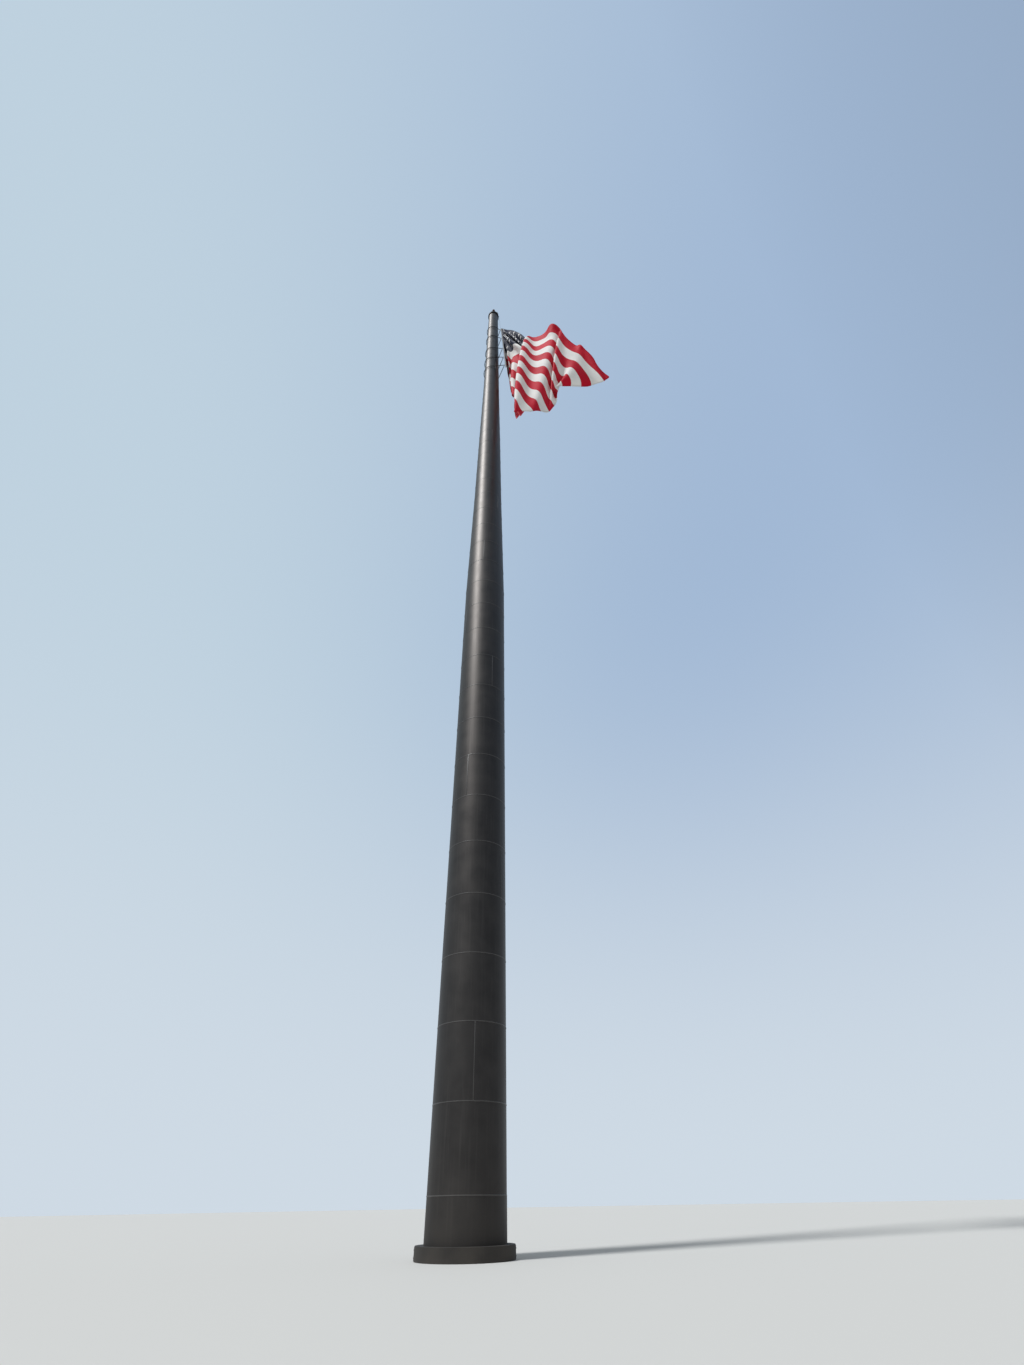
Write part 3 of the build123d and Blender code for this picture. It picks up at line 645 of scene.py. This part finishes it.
def laid_rope(name, line, radius):
    """A wire rope along a line of points: a ring of strands that turns as it goes."""
    reach = [0.0]
    for before, after in zip(line, line[1:]):
        reach.append(reach[-1] + (after - before).length)
    count = int(reach[-1] / ROPE_LAY * RINGS_PER_LAY)
    vertices, faces, run = [], [], 0
    around = 2 * ROPE_STRANDS
    for number in range(count + 1):
        along = reach[-1] * number / count
        while run < len(line) - 2 and along > reach[run + 1]:
            run += 1
        way = (line[run + 1] - line[run]).normalized()
        middle = line[run] + way * (along - reach[run])
        side = Vector((0, 1, 0)).cross(way).normalized()
        rise = way.cross(side)
        for spoke in range(around):
            angle = 2 * math.pi * (spoke / around + along / ROPE_LAY)
            size = radius * (STRAND_HOLLOW if spoke % 2 else 1.0)
            vertices.append(middle + (side * math.cos(angle) + rise * math.sin(angle)) * size)
        if number:
            start = (number - 1) * around
            for spoke in range(around):
                after = (spoke + 1) % around
                faces.append((
                    start + spoke, start + after, start + around + after, start + around + spoke,
                ))
    faces.append(tuple(range(around - 1, -1, -1)))
    faces.append(tuple(count * around + spoke for spoke in range(around)))
    mesh = bpy.data.meshes.new(name)
    mesh.from_pydata(vertices, [], faces)
    rope = bpy.data.objects.new(name, mesh)
    scene.collection.objects.link(rope)
    return rope


rope_steel = weathered_paint(
    "rope_steel", ROPE_PAINTED_SHADE, ROPE_WORN_PAINTED_SHADE, 0.60, 0.0001, uniform={"Metallic": 0.25}
)
halyard = settle(
    laid_rope("halyard_rope", rope_line, ROPE_RADIUS), "halyard_rope", rope_steel, "truck",
    math.radians(60),
)
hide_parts("halyard")
dress(dark_steel, "snap_hooks")


# --- Slings ---------------------------------------------------------------------------
# Each snap hook is held to the pole by a wire loop strung with moulded beads, which roll up
# and down the shaft as the flag is hoisted.
SLING_HEIGHTS = (11.2903, 10.7911, 10.2107, 9.7605, 9.3701)
SLING_STANDOFF = 0.0108
SLING_END = 0.0061
SLING_WIRE = 0.0012
BALL_RADIUS = 0.0062
BALL_PITCH = 0.0142
BALL_STRETCH = 1.06
BEAD_BLACK = (0.006, 0.006, 0.007, 1)
BEAD_WORN = (0.022, 0.021, 0.020, 1)

beads_black = bpy.data.materials.new("sling_beads")
beads_black.use_nodes = True
beads_tree = beads_black.node_tree
beads_shader = beads_tree.nodes["Principled BSDF"]
spot = put(beads_tree, "ShaderNodeTexCoord", (-1000, 0)).outputs["Object"]
scuff = put(
    beads_tree, "ShaderNodeTexNoise", (-800, 0), {"Vector": spot, "Scale": 140.0, "Detail": 4.0},
)
tint = put(
    beads_tree, "ShaderNodeMix", (-500, 100), {0: scuff.outputs[0], 6: BEAD_BLACK, 7: BEAD_WORN},
    data_type="RGBA",
)
beads_tree.links.new(tint.outputs[2], beads_shader.inputs["Base Color"])
polish = put(
    beads_tree, "ShaderNodeMapRange", (-500, -200), {0: scuff.outputs[0], 3: 0.55, 4: 0.80},
)
beads_tree.links.new(polish.outputs[0], beads_shader.inputs["Roughness"])
beads_shader.inputs["Specular IOR Level"].default_value = 0.15


def halyard_at(height):
    """Point of the halyard's outer fall at a height."""
    return halyard_top.lerp(
        HALYARD_FOOT, (halyard_top.z - height) / (halyard_top.z - HALYARD_FOOT.z),
    )


def sling_line(height, pitch):
    """Points spaced evenly round a sling: out to the hook and back round the shaft."""
    hook = halyard_at(height)
    bearing = math.atan2(hook.y, hook.x)
    apex = math.hypot(hook.x, hook.y) - SLING_END
    radius = shaft_radius(height) + SLING_STANDOFF
    half_gap = math.acos(radius / apex)
    leg = math.sqrt(apex ** 2 - radius ** 2)
    arc = radius * (2 * math.pi - 2 * half_gap)
    total = 2 * leg + arc
    count = round(total / pitch)
    points = []
    for number in range(count):
        along = total * number / count
        if leg <= along <= leg + arc:
            angle = half_gap + (along - leg) / radius
            x, y = radius * math.cos(angle), radius * math.sin(angle)
        else:
            share = min(along, total - along) / leg
            side = 1 if along < leg else -1
            x = apex + share * (radius * math.cos(half_gap) - apex)
            y = side * share * radius * math.sin(half_gap)
        points.append(Matrix.Rotation(bearing, 3, "Z") @ Vector((x, y, 0)) + Vector((0, 0, height)))
    return points


for number, height in enumerate(SLING_HEIGHTS, start=1):
    wire_points = sling_line(height, BALL_PITCH / 2)
    bpy.ops.curve.primitive_nurbs_path_add()
    wire = bpy.context.object
    wire.data.splines.clear()
    spline = wire.data.splines.new("POLY")
    spline.points.add(len(wire_points) - 1)
    for point, place in zip(spline.points, wire_points):
        point.co = (*place, 1)
    spline.use_cyclic_u = True
    wire.data.bevel_depth = SLING_WIRE
    wire.data.bevel_resolution = 1
    wire.location = (0, 0, 0)
    bpy.ops.object.convert(target="MESH")
    places = sling_line(height, BALL_PITCH)
    bpy.ops.mesh.primitive_uv_sphere_add(
        segments=10, ring_count=6, radius=BALL_RADIUS, location=(0, 0, 0),
    )
    ball = bpy.context.object
    bpy.ops.object.mode_set(mode="EDIT")
    bpy.ops.mesh.select_all(action="SELECT")
    bpy.ops.transform.resize(value=(1, 1, BALL_STRETCH))
    bpy.ops.object.mode_set(mode="OBJECT")
    turns = []
    for before, after in zip(places[-1:] + places, places):
        way = (after - before).to_track_quat("Z", "Y").to_matrix().to_4x4()
        turns.append(Matrix.Translation(after) @ way)
    balls = copies(ball, turns[1:])
    wire.select_set(True)
    bpy.ops.object.join()
    sling = settle(
        balls, f"beaded_sling_{number}", beads_black, "truck", math.radians(60),
    )
    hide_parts(f"sling_{number}")


# --- Flag -----------------------------------------------------------------------------
# Woven polyester bunting, 70 by 140 feet at full size: thirteen stripes sewn edge to edge, a
# navy canton with sewn stars, and a stitched hem along the fly.
FLAG_HOIST = 2.1336
FLAG_FLY = 4.2672
CANTON_FLY = 0.4 * FLAG_FLY
STRIPES = 13
STRIPE = FLAG_HOIST / STRIPES
CANTON_DROP = 7 * STRIPE
STAR_RADIUS = 0.0308 * FLAG_HOIST
CLOTH_THICKNESS = 0.0012
HOIST_HEAD = Vector((0.1486, -0.0564, 11.365))
HOIST_FOOT = Vector((0.2134, -0.1624, 9.2350))
HEADING_BEARING = math.radians(-32)
RED = (0.50, 0.004, 0.022, 1)
WHITE = (0.78, 0.77, 0.75, 1)
NAVY = (0.004, 0.006, 0.026, 1)
# Where the cloth hangs: share of the fly, share of the hoist, the point in space, and how
# firmly the cloth is led there while it falls. The points were taken one by one from the
# photograph and placed in space through the camera above. Their depths are judged; along the
# fly's edge they were searched for, so that the edge keeps about its length.
FOLDS = (
    (1.00, 0.000, (1.453, -0.678, 7.578), 1.0),
    (1.00, 0.080, (1.364, -0.662, 7.441), 1.0),
    (1.00, 0.154, (1.206, -0.626, 7.411), 1.0),
    (1.00, 0.308, (0.918, -0.652, 7.251), 1.0),
    (1.00, 0.460, (0.702, -0.728, 7.023), 1.0),
    (1.00, 0.690, (0.655, -0.638, 6.549), 1.0),
    (1.00, 0.850, (0.447, -0.730, 6.297), 1.0),
    (1.00, 1.000, (0.221, -0.790, 6.084), 1.0),
    (0.41, 0.000, (0.530, -0.430, 9.770), 1.0),
    (0.53, 0.000, (0.739, -0.620, 9.440), 0.85),
    (0.66, 0.000, (0.900, -0.800, 8.920), 1.0),
    (0.81, 0.000, (1.080, -0.800, 8.280), 0.9),
    (0.84, 0.000, (1.151, -0.800, 8.200), 1.0),
    (0.94, 0.000, (1.322, -0.700, 7.830), 1.0),
    (0.20, 0.000, (0.340, -0.245, 10.57), 0.5),
    (0.20, 0.270, (0.330, -0.270, 10.10), 0.5),
    (0.40, 0.270, (0.512, -0.500, 9.187), 1.0),
    (0.40, 0.540, (0.490, -0.570, 8.640), 1.0),
    (0.53, 0.460, (0.616, -0.350, 8.550), 0.7),
    (0.30, 0.770, (0.314, -0.250, 8.990), 0.6),
    (0.60, 0.770, (0.458, -0.450, 7.680), 0.6),
    (0.25, 1.000, (0.262, -0.020, 8.500), 0.7),
    (0.50, 1.000, (0.268, -0.270, 7.750), 0.7),
    (0.75, 1.000, (0.260, -0.480, 7.020), 0.7),
    (0.88, 1.000, (0.245, -0.640, 6.530), 0.7),
)
# Seen from the eye, the cloth hangs to the right of a line through these points: place along
# X and height, both abreast of the pole. The surface that does this is no real thing, and
# neither is the plane at BACK_LIMIT, which the cloth doesn't blow past.
GUIDE = (
    (0.145, 11.55), (0.184, 9.96), (0.233, 8.96), (0.282, 8.31), (0.289, 8.01), (0.291, 7.47),
    (0.288, 6.69),
)
GUIDE_NEAR, GUIDE_FAR = 0.56, 1.22
BACK_LIMIT = 0.235
SEAM_HALF_WIDTH = 0.0022
HEM_WIDTH = 0.022
FALL_FRAMES = 60
REST_FRAMES = 110
CLOTH_COLUMNS, CLOTH_ROWS = ((96, 48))

outward = Vector((math.cos(HEADING_BEARING), math.sin(HEADING_BEARING), 0))
vertices = []
faces = []
for column in range(CLOTH_COLUMNS + 1):
    for row in range(CLOTH_ROWS + 1):
        edge = HOIST_HEAD.lerp(HOIST_FOOT, row / CLOTH_ROWS)
        vertices.append(edge + outward * FLAG_FLY * column / CLOTH_COLUMNS)
stride = CLOTH_ROWS + 1
for column in range(CLOTH_COLUMNS):
    for row in range(CLOTH_ROWS):
        corner = column * stride + row
        faces.append((corner, corner + stride, corner + stride + 1, corner + 1))
cloth_mesh = bpy.data.meshes.new("flag_cloth")
cloth_mesh.from_pydata(vertices, [], faces)
cloth_map = cloth_mesh.uv_layers.new(name="bunting")
for loop in cloth_mesh.loops:
    column, row = divmod(loop.vertex_index, stride)
    cloth_map.data[loop.index].uv = (column / CLOTH_COLUMNS, 1 - row / CLOTH_ROWS)
flag = bpy.data.objects.new("flag_cloth", cloth_mesh)
scene.collection.objects.link(flag)
bpy.ops.object.select_all(action="DESELECT")
flag.select_set(True)
bpy.context.view_layer.objects.active = flag

flag.shape_key_add(name="Flat")
fall = flag.shape_key_add(name="Fall")
led = flag.vertex_groups.new(name="led")
led.add(list(range(stride)), 1.0, "REPLACE")
for fly, hoist, place, grip in FOLDS:
    index = round(fly * CLOTH_COLUMNS) * stride + round(hoist * CLOTH_ROWS)
    fall.data[index].co = place
    led.add([index], grip, "REPLACE")
fall.value = 0.0
fall.keyframe_insert("value", frame=1)
fall.value = 1.0
fall.keyframe_insert("value", frame=FALL_FRAMES)

weave = flag.modifiers.new("Cloth", "CLOTH")
weave.settings.quality = 7
weave.settings.mass = 0.3
weave.settings.tension_stiffness = 30
weave.settings.compression_stiffness = 30
weave.settings.shear_stiffness = 8
weave.settings.bending_stiffness = 3
weave.settings.bending_damping = 0.5
weave.settings.air_damping = 1.5
weave.settings.vertex_group_mass = "led"
weave.settings.pin_stiffness = 1
weave.collision_settings.distance_min = 0.02
weave.collision_settings.use_self_collision = True
weave.collision_settings.self_distance_min = 0.014
weave.collision_settings.self_friction = 2
weave.point_cache.frame_start = 1
weave.point_cache.frame_end = REST_FRAMES

bpy.ops.object.effector_add(type="WIND", location=(-3, 2, 9))
wind = bpy.context.object
wind.rotation_mode = "QUATERNION"
wind.rotation_quaternion = Vector((1, 0, 0.2)).to_track_quat("Z", "Y")
wind.field.strength = 20
wind.field.noise = 1.5
wind.field.seed = 3
wind.field.flow = 0
bpy.ops.mesh.primitive_cone_add(
    vertices=24, radius1=0.17, radius2=0.09, depth=12.2, location=(0, 0, 6.1),
)
pole_guard = bpy.context.object
eye = Vector(EYE)
guide_corners = [eye.lerp(
    Vector((x, 0, z)), reach,
) for x, z in GUIDE for reach in (GUIDE_NEAR, GUIDE_FAR)]
guide_faces = [(step, step + 2, step + 3, step + 1) for step in range(0, 2 * len(GUIDE) - 2, 2)]
guide_mesh = bpy.data.meshes.new("side_guide")
guide_mesh.from_pydata(guide_corners, [], guide_faces)
side_guide = bpy.data.objects.new("side_guide", guide_mesh)
scene.collection.objects.link(side_guide)
bpy.ops.mesh.primitive_plane_add(size=8, location=(1, BACK_LIMIT, 8), rotation=(math.pi / 2, 0, 0))
back_guard = bpy.context.object
for guard, gap in ((pole_guard, 0.02), (side_guide, 0.01), (back_guard, 0.01)):
    guard.modifiers.new("Collision", "COLLISION")
    guard.collision.thickness_outer = gap
scene.frame_start = 1
scene.frame_end = REST_FRAMES
for moment in range(1, REST_FRAMES + 1):
    scene.frame_set(moment)

settled = flag.evaluated_get(bpy.context.evaluated_depsgraph_get()).to_mesh()
hung = [vertex.co.copy() for vertex in settled.vertices]
flag.modifiers.remove(weave)
flag.shape_key_clear()
for vertex, place in zip(flag.data.vertices, hung):
    vertex.co = place
for helper in (wind, pole_guard, side_guide, back_guard):
    bpy.data.objects.remove(helper)
scene.frame_set(1)
bpy.ops.object.select_all(action="DESELECT")
flag.select_set(True)
bpy.context.view_layer.objects.active = flag
loose = flag.vertex_groups.new(name="loose")
loose.add(list(range(stride, len(hung))), 1.0, "REPLACE")
ease = flag.modifiers.new("Ease", "SMOOTH")
ease.factor = 0.5
ease.iterations = 3
ease.vertex_group = "loose"
bpy.ops.object.modifier_apply(modifier="Ease")
finer = flag.modifiers.new("Finer", "SUBSURF")
finer.levels = 1
finer.render_levels = 1
finer.uv_smooth = "NONE"
bpy.ops.object.modifier_apply(modifier="Finer")
body = flag.modifiers.new("Body", "SOLIDIFY")
body.thickness = CLOTH_THICKNESS
body.offset = 0
bpy.ops.object.modifier_apply(modifier="Body")

bunting = bpy.data.materials.new("bunting")
bunting.use_nodes = True
tree = bunting.node_tree
shader = tree.nodes["Principled BSDF"]
cloth_place = put(tree, "ShaderNodeUVMap", (-2400, 0), uv_map="bunting").outputs[0]
flat_place = put(tree, "ShaderNodeSeparateXYZ", (-2200, 0), {0: cloth_place}).outputs
across = calc(tree, (-2000, 100), "MULTIPLY", flat_place["X"], FLAG_FLY)
down = calc(tree, (-2000, -100), "SUBTRACT", 1.0, flat_place["Y"])
down = calc(tree, (-1850, -100), "MULTIPLY", down, FLAG_HOIST)
stripe_number = calc(tree, (-1700, -200), "DIVIDE", down, STRIPE)
odd = calc(tree, (-1550, -200), "MODULO", calc(tree, (-1600, -300), "FLOOR", stripe_number), 2.0)
striped = put(
    tree, "ShaderNodeMix", (-1300, 300), {0: odd, 6: RED, 7: WHITE}, data_type="RGBA",
).outputs[2]
in_canton = calc(
    tree, (-1500, 0), "MULTIPLY",
    calc(tree, (-1700, 50), "LESS_THAN", across, CANTON_FLY),
    calc(tree, (-1700, -50), "LESS_THAN", down, CANTON_DROP),
)


def sewn_stars(row, shift):
    """Mask of one of the canton's two interleaved lattices of five-pointed stars."""
    pitch_x, pitch_y = CANTON_FLY / 12, CANTON_DROP / 10
    x = calc(
        tree, (-1500, row), "WRAP", calc(tree, (-1650, row), "ADD", across, shift * pitch_x),
        pitch_x, -pitch_x,
    )
    y = calc(
        tree, (-1500, row - 150), "WRAP",
        calc(tree, (-1650, row - 150), "ADD", down, shift * pitch_y), pitch_y, -pitch_y,
    )
    up = calc(tree, (-1350, row - 150), "MULTIPLY", y, -1.0)
    squares = calc(
        tree, (-1200, row), "ADD", calc(tree, (-1350, row), "MULTIPLY", x, x),
        calc(tree, (-1350, row - 75), "MULTIPLY", y, y),
    )
    reach = calc(tree, (-1050, row), "SQRT", squares)
    angle = calc(
        tree, (-1050, row - 150), "PINGPONG", calc(tree, (-1200, row - 150), "ARCTAN2", x, up),
        math.radians(36),
    )
    slant = calc(
        tree, (-800, row - 150), "COSINE",
        calc(tree, (-900, row - 150), "SUBTRACT", angle, math.radians(72)),
    )
    edge = calc(tree, (-700, row), "MULTIPLY", reach, slant)
    inside = calc(tree, (-550, row), "LESS_THAN", edge, STAR_RADIUS * math.cos(math.radians(72)))
    margin = (1 - shift) * 0.9
    left = calc(tree, (-1350, row - 300), "GREATER_THAN", across, margin * pitch_x)
    right = calc(tree, (-1350, row - 350), "LESS_THAN", across, CANTON_FLY - margin * pitch_x)
    top = calc(tree, (-1350, row - 400), "GREATER_THAN", down, margin * pitch_y)
    foot = calc(tree, (-1350, row - 450), "LESS_THAN", down, CANTON_DROP - margin * pitch_y)
    box = calc(
        tree, (-1000, row - 350), "MULTIPLY",
        calc(tree, (-1150, row - 350), "MULTIPLY", left, right),
        calc(tree, (-1150, row - 400), "MULTIPLY", top, foot),
    )
    return calc(tree, (-400, row), "MULTIPLY", inside, box)


stars = calc(tree, (-250, -900), "MAXIMUM", sewn_stars(-700, 1.0), sewn_stars(-1300, 0.0))
canton = put(
    tree, "ShaderNodeMix", (-100, -600), {0: stars, 6: NAVY, 7: WHITE}, data_type="RGBA",
).outputs[2]
sewn = put(
    tree, "ShaderNodeMix", (100, 300), {0: in_canton, 6: striped, 7: canton}, data_type="RGBA",
).outputs[2]

# Seams between the stripes and rows of stitches in the fly's hem stand up a little and look
# darker.
seam = calc(tree, (-1300, -100), "PINGPONG", down, STRIPE / 2)
seam = calc(tree, (-1150, -100), "LESS_THAN", seam, SEAM_HALF_WIDTH)
hem = calc(tree, (-1300, 150), "GREATER_THAN", across, FLAG_FLY - HEM_WIDTH)
rows = calc(
    tree, (-1150, 250), "LESS_THAN", calc(tree, (-1250, 250), "PINGPONG", across, 0.0035), 0.0006,
)
rows = calc(tree, (-1000, 200), "MULTIPLY", rows, hem)
stitched = calc(tree, (-850, 100), "MAXIMUM", calc(tree, (-950, 0), "MULTIPLY", seam, 0.6), rows)
stitched = calc(
    tree, (-700, 100), "MAXIMUM", stitched, calc(tree, (-800, 50), "MULTIPLY", hem, 0.35),
)
shade = put(tree, "ShaderNodeMapRange", (-500, 100), {0: stitched, 3: 1.0, 4: 0.80}).outputs[0]
fade = put(
    tree, "ShaderNodeTexNoise", (-900, 500), {"Vector": cloth_place, "Scale": 7.0, "Detail": 6.0},
).outputs[0]
fade = put(
    tree, "ShaderNodeMapRange", (-700, 500), {0: fade, 1: 0.3, 2: 0.7, 3: 0.88, 4: 1.06},
).outputs[0]
shade = calc(tree, (-300, 200), "MULTIPLY", shade, fade)
tone = put(tree, "ShaderNodeCombineColor", (-100, 100), {0: shade, 1: shade, 2: shade}).outputs[0]
finished = put(
    tree, "ShaderNodeMix", (300, 300), {0: 1.0, 6: sewn, 7: tone}, data_type="RGBA",
    blend_type="MULTIPLY",
).outputs[2]
tree.links.new(finished, shader.inputs["Base Color"])
shader.inputs["Roughness"].default_value = 0.72
shader.inputs["Specular IOR Level"].default_value = 0.12
spread = put(
    tree, "ShaderNodeMapping", (-2200, -1900),
    {"Vector": cloth_place, "Scale": (FLAG_FLY, FLAG_HOIST, 1)},
).outputs[0]
warp = put(
    tree, "ShaderNodeTexWave", (-1900, -1800), {"Vector": spread, "Scale": 100.0},
    bands_direction="X",
).outputs[1]
weft = put(
    tree, "ShaderNodeTexWave", (-1900, -2100), {"Vector": spread, "Scale": 100.0},
    bands_direction="Y",
).outputs[1]
threads = calc(tree, (-1600, -1900), "ADD", warp, weft)
crease = put(
    tree, "ShaderNodeTexNoise", (-1900, -2400),
    {"Vector": spread, "Scale": 5.0, "Detail": 5.0, "Roughness": 0.55},
).outputs[0]
creased = put(
    tree, "ShaderNodeBump", (-900, -2200), {"Height": crease, "Distance": 0.02, "Strength": 0.45},
)
stitching = put(
    tree, "ShaderNodeBump", (-600, -2100),
    {"Height": stitched, "Distance": 0.0012, "Strength": 0.8, "Normal": creased.outputs[0]},
)
woven = put(
    tree, "ShaderNodeBump", (-300, -2000),
    {"Height": threads, "Distance": 0.0003, "Strength": 0.5, "Normal": stitching.outputs[0]},
)
tree.links.new(woven.outputs[0], shader.inputs["Normal"])

settle(flag, "flag_bunting", bunting, "truck", math.radians(180))
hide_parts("flag")


# --- Heading --------------------------------------------------------------------------
# A doubled band of polyester webbing sewn down the hoist, with brass eyelets that the snap
# hooks clip into. Its near-black colour is painted shade along the hoist.
HEADING_WIDTH = 0.016
HEADING_THICKNESS = 0.0026
HEADING_ROWS = 160
EYELET_RADIUS = 0.0042
EYELET_WIRE = 0.0011
# Near-black webbing colours: painted shade along the hoist line.
WEBBING_PAINTED_SHADE = (0.035, 0.036, 0.040, 1)
WEBBING_WORN_PAINTED_SHADE = (0.090, 0.088, 0.085, 1)
EYELET_BRASS = (0.55, 0.40, 0.18, 1)

side = Vector((-outward.y, outward.x, 0))
bpy.ops.mesh.primitive_grid_add(x_subdivisions=6, y_subdivisions=HEADING_ROWS, size=1)
heading = bpy.context.object
for vertex in heading.data.vertices:
    across, along = vertex.co.x + 0.5, 0.5 - vertex.co.y
    edge = HOIST_HEAD.lerp(HOIST_FOOT, along)
    ripple = 0.0007 * math.sin(along * 61) * across
    vertex.co = edge - outward * HEADING_WIDTH * (0.98 - across * 0.96) + side * ripple
doubled = heading.modifiers.new("Doubled", "SOLIDIFY")
doubled.thickness = HEADING_THICKNESS
doubled.offset = 0
bpy.ops.object.modifier_apply(modifier="Doubled")
canvas = bpy.data.materials.new("heading_canvas")
canvas.use_nodes = True
canvas_tree = canvas.node_tree
canvas_shader = canvas_tree.nodes["Principled BSDF"]
spot = put(canvas_tree, "ShaderNodeTexCoord", (-1200, 0)).outputs["Object"]
grime = put(
    canvas_tree, "ShaderNodeTexNoise", (-900, 200), {"Vector": spot, "Scale": 22.0, "Detail": 6.0},
)
tint = put(
    canvas_tree, "ShaderNodeMix", (-500, 200), {0: grime.outputs[0], 6: WEBBING_PAINTED_SHADE, 7: WEBBING_WORN_PAINTED_SHADE},
    data_type="RGBA",
)
canvas_tree.links.new(tint.outputs[2], canvas_shader.inputs["Base Color"])
canvas_shader.inputs["Roughness"].default_value = 0.85
canvas_shader.inputs["Sheen Weight"].default_value = 0.2
rib = put(
    canvas_tree, "ShaderNodeTexWave", (-900, -200), {"Vector": spot, "Scale": 110.0},
    bands_direction="Z",
)
ribbed = put(
    canvas_tree, "ShaderNodeBump", (-400, -200),
    {"Height": rib.outputs[1], "Distance": 0.0004, "Strength": 0.7},
)
canvas_tree.links.new(ribbed.outputs[0], canvas_shader.inputs["Normal"])
settle(heading, "heading_band", canvas, "truck", math.radians(50))
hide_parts("flag_heading")

bpy.ops.mesh.primitive_torus_add(
    major_radius=EYELET_RADIUS, minor_radius=EYELET_WIRE, major_segments=24, minor_segments=8,
)
eyelet = bpy.context.object
bpy.ops.object.mode_set(mode="EDIT")
bpy.ops.mesh.select_all(action="SELECT")
bpy.ops.transform.resize(value=(1, 1, 1.7))
bpy.ops.object.mode_set(mode="OBJECT")
places = []
for height in (HOIST_HEAD.z - 0.020, *SLING_HEIGHTS):
    share = (HOIST_HEAD.z - height) / (HOIST_HEAD.z - HOIST_FOOT.z)
    middle = HOIST_HEAD.lerp(HOIST_FOOT, share) - outward * HEADING_WIDTH * 0.5
    places.append(Matrix.Translation(middle) @ side.to_track_quat("Z", "Y").to_matrix().to_4x4())
eyelets = copies(eyelet, places)
brass = machined_steel("eyelet_brass", EYELET_BRASS, 0.40, 300.0)
settle(eyelets, "heading_eyelets", brass, "truck")


bpy.context.view_layer.update()
